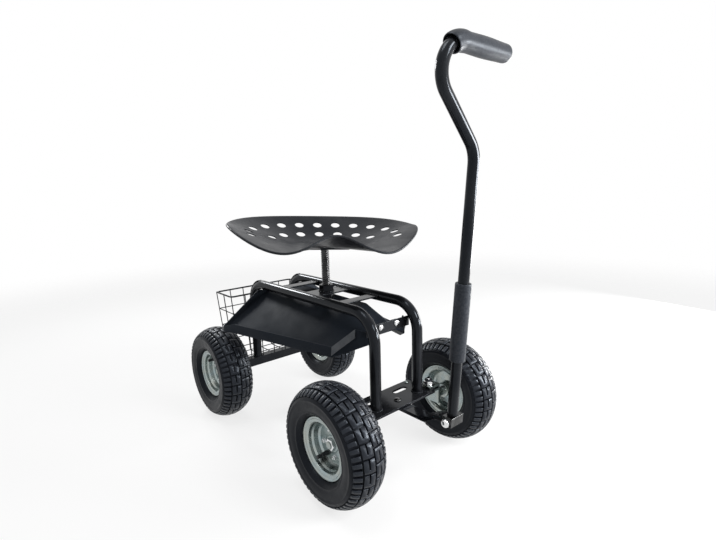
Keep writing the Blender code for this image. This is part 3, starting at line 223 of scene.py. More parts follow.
class SeatSizes(bpy.types.PropertyGroup):
    """The pressed seat pan and the screw it stands on."""

    turn: angle("Seat turn", -28.5, "How far the seat is turned at rest")
    lean: angle("Seat lean", -2.8, "How far the pan leans on its post")
    height: length("Seat height", 0.502, "Height of the pan's underside over the ground")
    half_width: length("Half width", 0.247, "From the middle of the pan to its side")
    back: length("Back", 0.184, "From the post to the back rim")
    front: length("Front", 0.228, "From the post to the front of the thigh lobes")
    pommel_front: length("Pommel front", 0.176, "From the post to the front of the pommel")
    pommel_half: length("Pommel half width", 0.080, "Half the width of the pommel")
    sheet: length("Sheet", 0.0025, "Thickness of the pressed sheet")
    back_rise: length("Back rise", 0.064, "Height of the back rim over the bottom of the pan")
    side_rise: length("Side rise", 0.054, "Height of the side rims over the bottom of the pan")
    lobe_rise: length("Lobe rise", -0.004, "Height of the thigh lobes over the bottom of the pan")
    pommel_rise: length("Pommel rise", 0.043, "Height of the pommel over the bottom of the pan")
    flat_share: share("Flat share", 0.34, "Share of the pan that is flat over the flange")
    curve: share("Curve", 1.2, "Power by which the pan rises from its flat to its rim")
    squareness: share("Squareness", 2.45, "Power of the outline; 2 is an ellipse")
    narrowing: share("Front narrowing", 0.25, "How much narrower the pan is in front")
    rings: count("Rings", 40, "Facets from the post to the rim")
    steps: count("Steps", 168, "Facets round the pan")
    curl: length("Rim curl", 0.0030, "Radius to which the rim is rolled over")
    hole_radius: length("Hole radius", 0.0125, "Radius of the punched holes")
    hole_pitch: length("Hole pitch", 0.052, "Distance between neighbouring holes")
    outer_holes: count("Outer holes", 13, "Holes in the row near the rim")
    outer_share: share("Outer row", 0.78, "Place of the outer row between post and rim")
    inner_holes: count("Inner holes", 7, "Holes in the row near the post")
    inner_share: share("Inner row", 0.56, "Place of the inner row between post and rim")
    thread_pitch: length("Thread pitch", 0.005, "Rise of the post in one turn")
    thread_depth: length("Thread depth", 0.0014, "Depth of the post's thread")
    post_radius: length("Post radius", 0.011, "Radius of the post over its thread")


class FinishColours(bpy.types.PropertyGroup):
    """Colours of the finishes, linear."""

    paint: colour("Black paint", (0.0030, 0.0034, 0.0050), "Gloss paint of the frame and the handle")
    seat: colour("Seat paint", (0.0058, 0.0068, 0.0095), "Satin charcoal paint of the seat pan")
    zinc: colour("Zinc", (0.29, 0.350, 0.362), "Plated rims, nuts and knuckles")
    passivate: colour("Passivate", (0.36, 0.38, 0.35), "Warm cast of the plating")
    rubber: colour("Tyre rubber", (0.0062, 0.0070, 0.0098), "Casing and tread")
    dust: colour("Dust", (0.034, 0.037, 0.048), "Mould bloom and dust on the rubber")
    tray: colour("Tray plastic", (0.0095, 0.0130, 0.0190), "Grained plastic of the tool tray")
    foam: colour("Grip foam", (0.011, 0.0132, 0.019), "Foam of both grips")
    steel: colour("Post steel", (0.36, 0.36, 0.37), "Oiled steel of the screw post")
    chrome: colour("Chrome", (0.78, 0.79, 0.80), "Bright plating of pivot bolt, yoke and nuts")


class StageSizes(bpy.types.PropertyGroup):
    """Camera, floor and light."""

    eye: FloatVectorProperty(
        name="Camera place",
        description="Where the camera stands",
        default=(0.910634, -0.7131, 0.6538),
        subtype="TRANSLATION",
        size=3,
    )
    heading: angle("Camera heading", 49.052, "Turn of the camera about the vertical")
    dip: angle("Camera dip", 10.505, "How far the camera looks below the horizon")
    roll: angle("Camera roll", -1.503, "Turn of the camera about its own line of sight")
    lens: FloatProperty(
        name="Lens",
        description="Focal length on a 36 mm frame",
        default=23.005,
        subtype="DISTANCE_CAMERA",
    )
    floor_radius: length("Floor radius", 3.5, "Radius of the floor")
    floor_clear: length("Floor clear radius", 1.6, "Radius at which the floor starts to fade out")
    world_light: share("World light", 0.22, "Strength of the soft light from all round")
    key_power: power("Key lamp", 34, "Power of the lamp in front")
    fill_power: power("Top lamp", 14, "Power of the lamp overhead")
    back_power: power("Back lamp", 20, "Power of the lamp behind, for streaks on the tubes")
    side_power: power("Side lamp", 40, "Power of the low lamp beside the handle")
    window_power: power("Window lamp", 26, "Power of the tall lamp on the left, for the uprights")


GROUPS = {
    "garden_wheels": WheelSizes,
    "garden_frame": FrameSizes,
    "garden_tray": TraySizes,
    "garden_basket": BasketSizes,
    "garden_handle": HandleSizes,
    "garden_seat": SeatSizes,
    "garden_colours": FinishColours,
    "garden_stage": StageSizes,
}


# ---------------------------------------------------------------- nodes


def node(tree, kind, inputs=None, **settings):
    """A new node, each given input set to a value or joined to a socket or to a node's first output."""
    made = tree.nodes.new(kind)
    for key, value in settings.items():
        setattr(made, key, value)
    for key, value in (inputs or {}).items():
        if isinstance(value, bpy.types.Node):
            value = value.outputs[0]
        if isinstance(value, bpy.types.NodeSocket):
            tree.links.new(value, made.inputs[key])
        else:
            made.inputs[key].default_value = value
    return made


class Recipe:
    """A Geometry Nodes tree with named inputs, ending in Realize Instances and Set Material."""

    def __init__(self, name):
        self.tree = bpy.data.node_groups.new(name, "GeometryNodeTree")
        self.given = self.tree.nodes.new("NodeGroupInput")
        self.result = self.tree.nodes.new("NodeGroupOutput")
        self.names = {}
        self.tree.interface.new_socket("Geometry", in_out="OUTPUT", socket_type="NodeSocketGeometry")
        self.source = self.input("Source", "Geometry")

    def input(self, name, kind):
        """A named input of the tree."""
        socket = self.tree.interface.new_socket(name, in_out="INPUT", socket_type="NodeSocket" + kind)
        self.names[name] = socket.identifier
        return self.given.outputs[name]

    def count(self, name):
        """A named whole number."""
        return self.input(name, "Int")

    def sizes(self, *names):
        """Named lengths, angles or ratios."""
        return [self.input(name, "Float") for name in names]

    def add(self, kind, inputs=None, **settings):
        """A node of this tree."""
        return node(self.tree, kind, inputs, **settings)

    def math(self, operation, first, second=0.0):
        """One sum."""
        return self.add("ShaderNodeMath", {0: first, 1: second}, operation=operation)

    def vector(self, **parts):
        """A vector from the parts X, Y and Z."""
        return self.add("ShaderNodeCombineXYZ", parts)

    def here(self):
        """X, Y and Z of each point."""
        return self.add("ShaderNodeSeparateXYZ", {0: self.add("GeometryNodeInputPosition")}).outputs

    def attribute(self, name, kind):
        """A value stored on the points of the source."""
        return self.add("GeometryNodeInputNamedAttribute", {"Name": name}, data_type=kind)

    def line(self):
        """The source's edges as curves."""
        return self.add("GeometryNodeMeshToCurve", {"Mesh": self.source})

    def swept(self, curve, radius, sides):
        """A round bar along a curve, closed at its ends."""
        section = self.add("GeometryNodeCurvePrimitiveCircle", {"Resolution": sides, "Radius": radius})
        inputs = {"Curve": curve, "Profile Curve": section, "Fill Caps": True}
        return self.add("GeometryNodeCurveToMesh", inputs)

    def repeated(self, instance, points, **more):
        """One shape at each of some points."""
        inputs = {"Points": points, "Instance": instance, **more}
        return self.add("GeometryNodeInstanceOnPoints", inputs)

    def real(self, geometry):
        """Repeated shapes as one mesh."""
        return self.add("GeometryNodeRealizeInstances", {"Geometry": geometry})

    def end(self, geometry):
        """Close the tree."""
        finish = self.input("Finish", "Material")
        inputs = {"Geometry": self.real(geometry), "Material": finish}
        painted = self.add("GeometryNodeSetMaterial", inputs)
        self.tree.links.new(painted.outputs[0], self.result.inputs[0])
        return self

    def make(self, source, finish, sizes, sheet=None):
        """The tree's result on a source mesh, which may get a sheet thickness first, as a plain mesh."""
        holder = linked(self.tree.name, source)
        if sheet is not None:
            thicken(holder, sheet, -1)
        step = holder.modifiers.new(self.tree.name, "NODES")
        step.node_group = self.tree
        step[self.names["Finish"]] = finish
        for name, value in sizes.items():
            step[self.names[name]] = value
        return baked(holder)


def linked(name, data):
    """A new object in the scene."""
    made = bpy.data.objects.new(name, data)
    bpy.context.scene.collection.objects.link(made)
    return made


def thicken(holder, sheet, offset):
    """A Solidify step."""
    step = holder.modifiers.new("sheet", "SOLIDIFY")
    step.thickness = sheet
    step.offset = offset
    step.use_even_offset = True


def soften(holder, width, facets, limit):
    """A Bevel step on edges sharper than a limit in degrees."""
    step = holder.modifiers.new("soft_edges", "BEVEL")
    step.width = width
    step.segments = facets
    step.limit_method = "ANGLE"
    step.angle_limit = math.radians(limit)


def baked(holder):
    """A plain mesh of an object with its modifiers; the object itself goes."""
    bpy.context.view_layer.update()
    seen = holder.evaluated_get(bpy.context.evaluated_depsgraph_get())
    mesh = bpy.data.meshes.new_from_object(seen)
    bpy.data.objects.remove(holder)
    return mesh


JOINT_SWELL = 1.12
DROP_SCALES = (0.85, 1.15)
THREAD_FLANK = (0.25, 0.75)
THREAD_CORE = 0.9
THREAD_AXIS = 0.0001


def tube_recipe():
    """A round tube along a line whose corners are bent to the radius each one carries."""
    recipe = Recipe("bent_tube")
    (radius,) = recipe.sizes("Radius")
    inputs = {
        "Curve": recipe.line(),
        "Count": recipe.count("Bend cells"),
        "Radius": recipe.attribute("bend", "FLOAT"),
    }
    bent = recipe.add("GeometryNodeFilletCurve", inputs, mode="POLY")
    return recipe.end(recipe.swept(bent, radius, recipe.count("Sides")))


def net_recipe():
    """Round wires along every edge of a net, with a welded joint at each crossing."""
    recipe = Recipe("wire_net")
    (radius,) = recipe.sizes("Wire radius")
    sides = recipe.count("Sides")
    wires = recipe.swept(recipe.line(), radius, sides)
    swell = recipe.math("MULTIPLY", radius, JOINT_SWELL)
    joint = recipe.add("GeometryNodeMeshUVSphere", {"Segments": sides, "Rings": 5, "Radius": swell})
    both = recipe.add("GeometryNodeJoinGeometry", {0: wires})
    recipe.tree.links.new(recipe.repeated(joint, recipe.source).outputs[0], both.inputs[0])
    return recipe.end(both)


def weld_recipe():
    """A bead of overlapping weld drops along a line."""
    recipe = Recipe("weld_bead")
    pitch, radius = recipe.sizes("Pitch", "Drop radius")
    inputs = {"Curve": recipe.line(), "Length": pitch}
    points = recipe.add("GeometryNodeCurveToPoints", inputs, mode="LENGTH")
    drop = recipe.add("GeometryNodeMeshUVSphere", {"Segments": 8, "Rings": 5, "Radius": radius})
    inputs = {2: DROP_SCALES[0], 3: DROP_SCALES[1], "Seed": recipe.count("Seed")}
    swell = recipe.add("FunctionNodeRandomValue", inputs, data_type="FLOAT")
    return recipe.end(recipe.repeated(drop, points, Scale=swell.outputs[1]))


def bolt_circle_recipe():
    """One fastener repeated on a circle about Z."""
    recipe = Recipe("bolt_circle")
    radius, start = recipe.sizes("Circle radius", "Start angle")
    ring = recipe.add("GeometryNodeMeshCircle", {"Vertices": recipe.count("Count"), "Radius": radius})
    turn = recipe.vector(Z=start)
    turned_ring = recipe.add("GeometryNodeTransform", {"Geometry": ring, "Rotation": turn})
    return recipe.end(recipe.repeated(recipe.source, turned_ring, Rotation=turn))


def punch_recipe():
    """Round holes punched square through a sheet, at the points of another object."""
    recipe = Recipe("punched_holes")
    places = recipe.input("Hole places", "Object")
    radius, depth = recipe.sizes("Hole radius", "Punch length")
    found = recipe.add("GeometryNodeObjectInfo", {"Object": places}).outputs["Geometry"]
    direction = recipe.attribute("square", "FLOAT_VECTOR")
    square = recipe.add("FunctionNodeAlignRotationToVector", {"Vector": direction}, axis="Z")
    punch = recipe.add("GeometryNodeMeshCylinder", {"Vertices": 32, "Radius": radius, "Depth": depth})
    punches = recipe.real(recipe.repeated(punch, found, Rotation=square))
    inputs = {"Mesh 1": recipe.source, "Mesh 2": punches}
    cut = recipe.add("GeometryNodeMeshBoolean", inputs, operation="DIFFERENCE", solver="EXACT")
    return recipe.end(cut)


def tread_recipe():
    """One flat pitch of tread repeated in a row and wrapped round the crown and shoulders of a tyre."""
    recipe = Recipe("tyre_tread")
    sums = recipe.math
    number = recipe.count("Pitches")
    pitch, radius, crown, half, shoulder = recipe.sizes(
        "Pitch", "Tyre radius", "Crown radius", "Crown half width", "Shoulder radius"
    )
    row = recipe.add("GeometryNodeMeshLine", {"Count": number, "Offset": recipe.vector(X=pitch)})
    flat = recipe.real(recipe.repeated(recipe.source, row))
    along, across, out = recipe.here()
    far = sums("ABSOLUTE", across)
    lean = sums("DIVIDE", sums("MINIMUM", far, half), crown)
    past = sums("MAXIMUM", sums("SUBTRACT", far, half), 0.0)
    over = sums("ADD", lean, sums("DIVIDE", past, shoulder))
    reach = sums("ADD", shoulder, out)
    arm = sums("SUBTRACT", crown, shoulder)
    on_crown = sums("MULTIPLY", arm, sums("SINE", lean))
    sideways = sums("ADD", on_crown, sums("MULTIPLY", reach, sums("SINE", over)))
    centre = sums("SUBTRACT", radius, crown)
    rise = sums("ADD", centre, sums("MULTIPLY", arm, sums("COSINE", lean)))
    outward = sums("ADD", rise, sums("MULTIPLY", reach, sums("COSINE", over)))
    whole = sums("MULTIPLY", pitch, number)
    bearing = sums("MULTIPLY", sums("DIVIDE", along, whole), 2 * math.pi)
    wrapped = recipe.vector(
        X=sums("MULTIPLY", outward, sums("COSINE", bearing)),
        Y=sums("MULTIPLY", outward, sums("SINE", bearing)),
        Z=sums("MULTIPLY", sideways, sums("SIGN", across)),
    )
    return recipe.end(recipe.add("GeometryNodeSetPosition", {"Geometry": flat, "Position": wrapped}))


def thread_recipe():
    """A screw thread pressed into a smooth round bar about Z."""
    recipe = Recipe("screw_thread")
    sums = recipe.math
    radius, depth, pitch = recipe.sizes("Outer radius", "Thread depth", "Pitch")
    x, y, z = recipe.here()
    turn = sums("DIVIDE", sums("ARCTAN2", y, x), 2 * math.pi)
    phase = sums("SUBTRACT", sums("DIVIDE", z, pitch), turn)
    wave = sums("MULTIPLY", sums("PINGPONG", phase, 0.5), 2.0)
    inputs = {"Value": wave, 1: THREAD_FLANK[0], 2: THREAD_FLANK[1]}
    flank = recipe.add("ShaderNodeMapRange", inputs, interpolation_type="SMOOTHSTEP")
    cut = sums("SUBTRACT", radius, sums("MULTIPLY", flank, depth))
    size = recipe.add("ShaderNodeVectorMath", {0: recipe.vector(X=x, Y=y)}, operation="LENGTH")
    size = size.outputs["Value"]
    outer = sums("GREATER_THAN", size, sums("MULTIPLY", radius, THREAD_CORE))
    scale = sums("DIVIDE", cut, sums("MAXIMUM", size, THREAD_AXIS))
    moved = recipe.vector(X=sums("MULTIPLY", x, scale), Y=sums("MULTIPLY", y, scale), Z=z)
    inputs = {"Geometry": recipe.source, "Selection": outer, "Position": moved}
    return recipe.end(recipe.add("GeometryNodeSetPosition", inputs))


# ---------------------------------------------------------------- finishes


COOL = (0.78, 0.88, 1.0)
GRAINS = None
CLOUD_LOW = 0.3
CLOUD_HIGH = 0.7


class Finish:
    """What one finish is made from; sizes of clouds and depths of relief are in metres.

    tint is (cloud size, detail, colour, shade, colour, shade, amount), where a shade goes to white
    above 0 and to black below; gloss is (cloud size, low, high); each relief is (size, detail or
    GRAINS, depth) and may end with a stretch.
    """

    def __init__(self, name, slot, tint, gloss, *reliefs, specular=None):
        self.name = name
        self.slot = slot
        self.tint = tint
        self.gloss = gloss
        self.reliefs = reliefs
        self.specular = specular


FINISHES = {
    # Gloss black paint with a fine orange peel, a little cloudy.
    "paint": Finish(
        "gloss_black_paint", "black_paint", (0.12, 4, "paint", 0, "paint", 0.012, 1), (0.05, 0.10, 0.19),
        (0.0045, 2, 0.00006), (0.0012, 2, 0.00002), specular=0.17,
    ),
    # Satin charcoal paint on pressed sheet: soft waves of the pressing under an orange peel.
    "seat": Finish(
        "satin_charcoal_paint", "seat_paint",
        (0.10, 4, "seat", -0.10, "seat", 0.018, 1), (0.04, 0.27, 0.39),
        (0.045, 2, 0.0009), (0.0032, 2, 0.00010), specular=0.11,
    ),
    # Bright zinc plating with the warm and cool cast of its passivation and fine drawing marks.
    "zinc": Finish(
        "zinc_plate", "zinc", (0.030, 3, "zinc", 0, "passivate", 0, 1), (0.012, 0.20, 0.38),
        (0.004, 3, 0.00006), (0.0009, 2, 0.00002, (1, 6, 1)),
    ),
    # Bright plating of small hardware, clean with a few dull patches.
    "bright": Finish(
        "bright_plate", "zinc", (0.010, 4, "chrome", 0, "chrome", -0.25, 1), (0.006, 0.08, 0.24),
        (0.0015, 2, 0.00002),
    ),
    # Dark bright plating of the handle's yoke.
    "dark": Finish(
        "dark_plate", "zinc", (0.010, 4, "chrome", -0.94, "chrome", -0.86, 1), (0.006, 0.12, 0.28),
        (0.0015, 2, 0.00003),
    ),
    # Smooth rubber of the sidewalls, its colour painted darker than the tread's rubber as painted shade.
    "casing": Finish(
        "sidewall_rubber", "tyre", (0.030, 6, "rubber", -0.35, "dust", 0, 0.10), (0.020, 0.32, 0.46),
        (0.0060, 3, 0.00022), (0.0010, 3, 0.00006), specular=0.14,
    ),
    # Moulded rubber with a dusty bloom and a fine skin.
    "tyre": Finish(
        "tyre_rubber", "tyre", (0.024, 6, "rubber", 0, "dust", 0, 0.14), (0.014, 0.28, 0.42),
        (0.0060, 3, 0.00028), (0.0010, 3, 0.00008), specular=0.30,
    ),
    # Smooth black rubber of the valve stems.
    "valve": Finish(
        "valve_rubber", "valve", (0.004, 4, "rubber", -0.4, "rubber", 0, 1), (0.003, 0.40, 0.60),
        (0.0008, 4, 0.00005),
    ),
    # Blue-black plastic with a moulded grain.
    "tray": Finish(
        "grained_plastic", "tray_plastic", (0.09, 5, "tray", 0, "tray", 0.010, 1), (0.05, 0.54, 0.66),
        (0.05, 2, 0.0003), (0.0016, GRAINS, 0.00016), specular=0.09,
    ),
    # The same plastic, painted paler on the folded lip as a painted sheen.
    "edge": Finish(
        "folded_plastic", "tray_plastic", (0.02, 5, "tray", 0.045, "tray", 0.080, 1), (0.02, 0.38, 0.52),
        (0.006, 3, 0.00020), (0.0016, GRAINS, 0.00012), specular=0.30,
    ),
    # Closed-cell foam: matt, with small pores.
    "grip": Finish(
        "grip_foam", "grip", (0.0035, 5, "foam", -0.25, "foam", 0.020, 1), (0.010, 0.36, 0.48),
        (0.0011, GRAINS, 0.00004), (0.0060, 3, 0.00006), specular=0.24,
    ),
    # Ground steel of the bearing rings, dulled by grease.
    "bearing": Finish(
        "bearing_steel", "bearing", (0.004, 4, "steel", 0, "steel", 0.35, 1), (0.003, 0.18, 0.42),
        (0.0007, 4, 0.00002),
    ),
    # Oiled dark steel of the screw post.
    "post": Finish(
        "oiled_steel", "zinc", (0.020, 5, "steel", -0.88, "steel", -0.62, 1), (0.008, 0.14, 0.34),
        (0.0010, 4, 0.00003),
    ),
}
METALS = ("zinc", "bright", "dark", "bearing", "post")
made_finishes = {}


def shaded(colour, shade):
    """A colour some way towards white, or towards black where the shade is below 0."""
    if shade < 0:
        return (*(part * (1 + shade) for part in colour), 1)
    return (*(part + (1 - part) * shade for part in colour), 1)


def made_finish(kind, colours):
    """The material of one finish: textures in Object coordinates on a Principled shader."""
    finish = FINISHES[kind]
    material = bpy.data.materials.new(finish.name)
    material.use_nodes = True
    tree = material.node_tree
    shader = tree.nodes["Principled BSDF"]
    place = node(tree, "ShaderNodeTexCoord").outputs["Object"]

    def cloud(size, detail=4, stretch=(1, 1, 1)):
        """Clouds from 0 to 1 with features of a given size, or the distance to scattered grains."""
        if detail is GRAINS:
            return node(tree, "ShaderNodeTexVoronoi", {"Vector": place, "Scale": 1 / size})
        spread = node(tree, "ShaderNodeMapping", {"Vector": place, "Scale": stretch})
        inputs = {"Vector": spread, "Scale": 1 / size, "Detail": detail, "Roughness": 0.55}
        return node(tree, "ShaderNodeTexNoise", inputs)

    def span(value, low, high):
        """A cloud value mapped to a range."""
        inputs = {"Value": value, 1: CLOUD_LOW, 2: CLOUD_HIGH, 3: low, 4: high}
        return node(tree, "ShaderNodeMapRange", inputs)

    size, detail, first, first_shade, second, second_shade, amount = finish.tint
    colour_inputs = {
        0: span(cloud(size, detail), 0, amount),
        6: shaded(getattr(colours, first), first_shade),
        7: shaded(getattr(colours, second), second_shade),
    }
    mixed = node(tree, "ShaderNodeMix", colour_inputs, data_type="RGBA")
    tree.links.new(mixed.outputs[2], shader.inputs["Base Color"])
    size, low, high = finish.gloss
    tree.links.new(span(cloud(size), low, high).outputs[0], shader.inputs["Roughness"])
    shader.inputs["Metallic"].default_value = float(kind in METALS)
    if finish.specular is not None:
        shader.inputs["Specular IOR Level"].default_value = finish.specular
        shader.inputs["Specular Tint"].default_value = (*COOL, 1)
    bump = None
    for size, detail, depth, *stretch in finish.reliefs:
        inputs = {"Height": cloud(size, detail, *stretch), "Distance": depth, "Strength": 1}
        if bump is not None:
            inputs["Normal"] = bump
        bump = node(tree, "ShaderNodeBump", inputs)
    tree.links.new(bump.outputs[0], shader.inputs["Normal"])
    return material


def finish_of(kind):
    """The material of one kind of finish, made when it is first used."""
    if kind not in made_finishes:
        made_finishes[kind] = made_finish(kind, bpy.context.scene.garden_colours)
    return made_finishes[kind]


# ---------------------------------------------------------------- meshes


CORNER_ROOM = 0.45
HEAD_FACE = 0.93
DOME_CELLS = 8
DOME_RIM = 0.25
MERGE_REACH = 0.00001
FLAT_WITHIN = math.radians(0.5)
SHARP_FROM = math.radians(45)
# Round-headed bolts: head radius, head height, shank radius, shank length.
TRAY_BOLT = (0.0075, 0.0040, 0.0030, 0.0064)
PLATE_BOLT = (0.0055, 0.0034, 0.003, 0.002)
PAN_BOLT = (0.008, 0.004, 0.004, 0.008)


def plain_mesh(shape):
    """A mesh of a bmesh shape, which goes."""
    mesh = bpy.data.meshes.new("shape")
    shape.to_mesh(mesh)
    shape.free()
    return mesh


def as_mesh(shape):
    """A mesh of a bmesh shape with its faces pointing out."""
    bmesh.ops.recalc_face_normals(shape, faces=shape.faces)
    return plain_mesh(shape)


def joined(meshes):
    """Several meshes as one."""
    shape = bmesh.new()
    for mesh in meshes:
        shape.from_mesh(mesh)
    return plain_mesh(shape)


def shift(x, y, z):
    """A move."""
    return Matrix.Translation((x, y, z))


def placed(mesh, place):
    """The same mesh moved to its place."""
    mesh.transform(place)
    return mesh


def skinned(rings, closed=False):
    """Faces between neighbouring rings of points; a ring of one point closes an end."""
    shape = bmesh.new()
    made = [[shape.verts.new(point) for point in ring] for ring in rings]
    pairs = list(zip(made, made[1:]))
    if closed:
        pairs.append((made[-1], made[0]))
    for upper, lower in pairs:
        number = max(len(upper), len(lower))
        for i in range(number):
            j = (i + 1) % number
            corners = (
                upper[i % len(upper)],
                lower[i % len(lower)],
                lower[j % len(lower)],
                upper[j % len(upper)],
            )
            shape.faces.new(list(dict.fromkeys(corners)))
    return as_mesh(shape)


def circle(radius, height, steps):
    """A ring of points about Z, or one point on the axis."""
    if radius == 0:
        return [(0, 0, height)]
    turns = [2 * math.pi * i / steps for i in range(steps)]
    return [(radius * math.cos(turn), radius * math.sin(turn), height) for turn in turns]


def turned(profile, steps, closed=False):
    """A profile of (radius, height) points turned about Z."""
    return skinned([circle(radius, height, steps) for radius, height in profile], closed)


def rounded(corners, radius, cells=3):
    """Points through the corners, with each inner corner rounded where there is room for it."""
    corners = [Vector(corner) for corner in corners]
    path = [corners[0]]
    for before, corner, after in zip(corners, corners[1:], corners[2:]):
        into = corner - before
        out = after - corner
        turn = into.angle(out)
        room = min(into.length, out.length) * CORNER_ROOM
        reach = min(radius * math.tan(turn / 2), room)
        start = corner - into.normalized() * reach
        end = corner + out.normalized() * reach
        for i in range(cells + 1):
            t = i / cells
            path.append(start * (1 - t) ** 2 + corner * (2 * t * (1 - t)) + end * t**2)
    path.append(corners[-1])
    return path


def hexagon(radius, height, bore=0.0, steps=48):
    """A hexagon nut or bolt head standing on z = 0, its corners turned down to a round top face."""
    flat = radius * math.cos(math.pi / 6)
    face = flat * HEAD_FACE
    outline = []
    for i in range(steps):
        turn = 2 * math.pi * i / steps
        off = (turn % (math.pi / 3)) - math.pi / 6
        reach = flat / math.cos(off)
        outline.append((reach * math.cos(turn), reach * math.sin(turn), reach))
    slope = math.tan(math.pi / 6)
    low = [(x, y, 0) for x, y, _ in outline]
    high = [(x, y, height - (reach - face) * slope) for x, y, reach in outline]
    rings = [circle(bore, 0, steps), low, high, circle(face, height, steps), circle(bore, height, steps)]
    return skinned(rings, closed=bore > 0)


def domed(radius, height, shank, depth, steps=40):
    """A round-headed bolt along Z: a dome over z = 0 and its shank below."""
    dome = []
    for i in range(DOME_CELLS + 1):
        turn = math.pi / 2 * i / DOME_CELLS
        rise = DOME_RIM + (1 - DOME_RIM) * math.cos(turn)
        dome.append((radius * math.sin(turn), height * rise))
    profile = dome + [(radius, 0), (shank, 0), (shank, -depth), (0, -depth)]
    return turned(profile, steps)


def is_sharp(edge):
    """Whether two faces meet at an edge in a sharp corner."""
    return edge.is_manifold and edge.calc_face_angle() > SHARP_FROM


def eased(name, width, facets=2):
    """A copy of a solid with its facets merged and its edges rounded over."""
    shape = bmesh.new()
    shape.from_mesh(frame["nodes"][name].data)
    bmesh.ops.remove_doubles(shape, verts=shape.verts, dist=MERGE_REACH)
    bmesh.ops.dissolve_limit(
        shape, angle_limit=FLAT_WITHIN, verts=shape.verts, edges=shape.edges, delimit={"NORMAL"}
    )
    sharp = [edge for edge in shape.edges if is_sharp(edge)]
    bmesh.ops.bevel(
        shape,
        geom=sharp,
        offset=width,
        segments=facets,
        profile=0.5,
        affect="EDGES",
        clamp_overlap=True,
    )
    bmesh.ops.triangulate(shape, faces=[face for face in shape.faces if len(face.verts) > 4])
    return as_mesh(shape)


def path_mesh(corners, bends, closed=False):
    """A line of edges through the corners, each corner carrying the radius it is bent to."""
    mesh = bpy.data.meshes.new("path")
    edges = [(i, i + 1) for i in range(len(corners) - 1)]
    if closed:
        edges.append((len(corners) - 1, 0))
    mesh.from_pydata([tuple(corner) for corner in corners], edges, [])
    bend = mesh.attributes.new("bend", "FLOAT", "POINT")
    bend.data.foreach_set("value", bends)
    return mesh


def lines_mesh(lines):
    """Several open or closed lines as edges; each is (points, closed)."""
    shape = bmesh.new()
    for points, closed in lines:
        made = [shape.verts.new(point) for point in points]
        pairs = list(zip(made, made[1:]))
        if closed:
            pairs.append((made[-1], made[0]))
        for pair in pairs:
            shape.edges.new(pair)
    return plain_mesh(shape)


def punched(sheet_mesh, finish, places, radius, depth, sheet=None):
    """A sheet with round holes at (point, direction) places."""
    mesh = bpy.data.meshes.new("hole_places")
    mesh.from_pydata([tuple(point) for point, _ in places], [], [])
    square = mesh.attributes.new("square", "FLOAT_VECTOR", "POINT")
    square.data.foreach_set("vector", [part for _, direction in places for part in direction])
    holder = linked("hole_places", mesh)
    sizes = {"Hole places": holder, "Hole radius": radius, "Punch length": depth}
    cut = punch_recipe().make(sheet_mesh, finish, sizes, sheet)
    bpy.data.objects.remove(holder)
    return cut


def middle(name):
    """Centre of a solid's box."""
    low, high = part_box(name)
    return (low + high) / 2


def flat_shaded(mesh):
    """The same mesh, shaded so that its wide faces stay flat beside their rounded edges."""
    holder = linked("shading", mesh)
    weights = holder.modifiers.new("weights", "WEIGHTED_NORMAL")
    weights.keep_sharp = True
    return baked(holder)


def finished(name, mesh, kind, nodes=(), body=None, crease=38, flats=False):
    """A piece at the origin with its finish, riding on its body in place of the solids it stands for."""
    mesh.materials.clear()
    mesh.materials.append(finish_of(kind))
    mesh.shade_smooth()
    mesh.set_sharp_from_angle(angle=math.radians(crease))
    if flats:
        mesh = flat_shaded(mesh)
    mesh.name = name
    piece = linked(name, mesh)
    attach(piece, body or frame["nodes"][nodes[0]]["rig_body"])
    if nodes:
        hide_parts(*nodes)
    return piece


def flat_metal(piece, name, edge, kind="paint", facets=2):
    """A piece of flat metalwork: its solid with rounded edges."""
    finished(piece, eased(name, edge, facets), kind, [name], flats=True)


# ---------------------------------------------------------------- wheels


TYRE_SIDEWALL = (
    (0.1082, 0.0440), (0.1050, 0.0443), (0.1043, 0.0448), (0.1030, 0.0448), (0.1023, 0.0443),
    (0.0970, 0.0444), (0.0900, 0.0437), (0.0830, 0.0423), (0.0785, 0.0408), (0.0778, 0.0412),
    (0.0762, 0.0406), (0.0756, 0.0397), (0.0725, 0.0368), (0.0700, 0.0335), (0.0685, 0.0300),
    (0.0677, 0.0277), (0.0565, 0.0272),
)
RIM_SECTION = (
    (0.0180, 0.0016), (0.0250, 0.00125), (0.0430, 0.00125), (0.0466, 0.0050), (0.0490, 0.0150),
    (0.0518, 0.0190), (0.0525, 0.0258), (0.0552, 0.0288), (0.0612, 0.0290), (0.0628, 0.0306),
    (0.0660, 0.0306), (0.0671, 0.0295), (0.0671, 0.0284), (0.0560, 0.0278), (0.0545, 0.0262),
    (0.0538, 0.0180), (0.0510, 0.0140),
)
HUB_BORE = 0.0125
HUB_RADIUS = 0.0180
HUB_OUTBOARD = 0.004
HUB_INBOARD = 0.028
BEARING_RADII = (0.0121, 0.0112, 0.0108, 0.0093, 0.0089, 0.0084)
BEARING_WIDTH = 0.010
BEARING_RECESS = 0.0008
NUT_RADIUS = 0.0135
NUT_HEIGHT = 0.007
NUT_GAP = 0.0005
AXLE_RADIUS = 0.008
VALVE_SECTION = (
    (0.0, 1.00), (0.62, 1.00), (0.74, 0.97), (0.74, 0.66), (0.58, 0.64), (0.58, 0.58), (0.80, 0.55),
    (0.84, 0.30), (1.00, 0.14), (1.00, 0.0), (0.0, 0.0),
)
RIM_BEND = 0.0016
RIM_BOLT_HEAD = 0.8
RIM_WEB_FACE = 0.00125
RIM_WASHER_SHEET = 0.0008
RIM_WASHER = ((0, RIM_WASHER_SHEET), (0.0062, RIM_WASHER_SHEET), (0.0064, 0), (0, 0))
RIM_BOLT_TAIL = ((0, 0.0068), (0.0022, 0.0068), (0.0026, 0.0062), (0.0026, 0), (0, 0))
CASING_CELLS = 14
CASING_EASE = 0.55
BLOCK_ROOT = 0.001
LUG_CELLS = 4
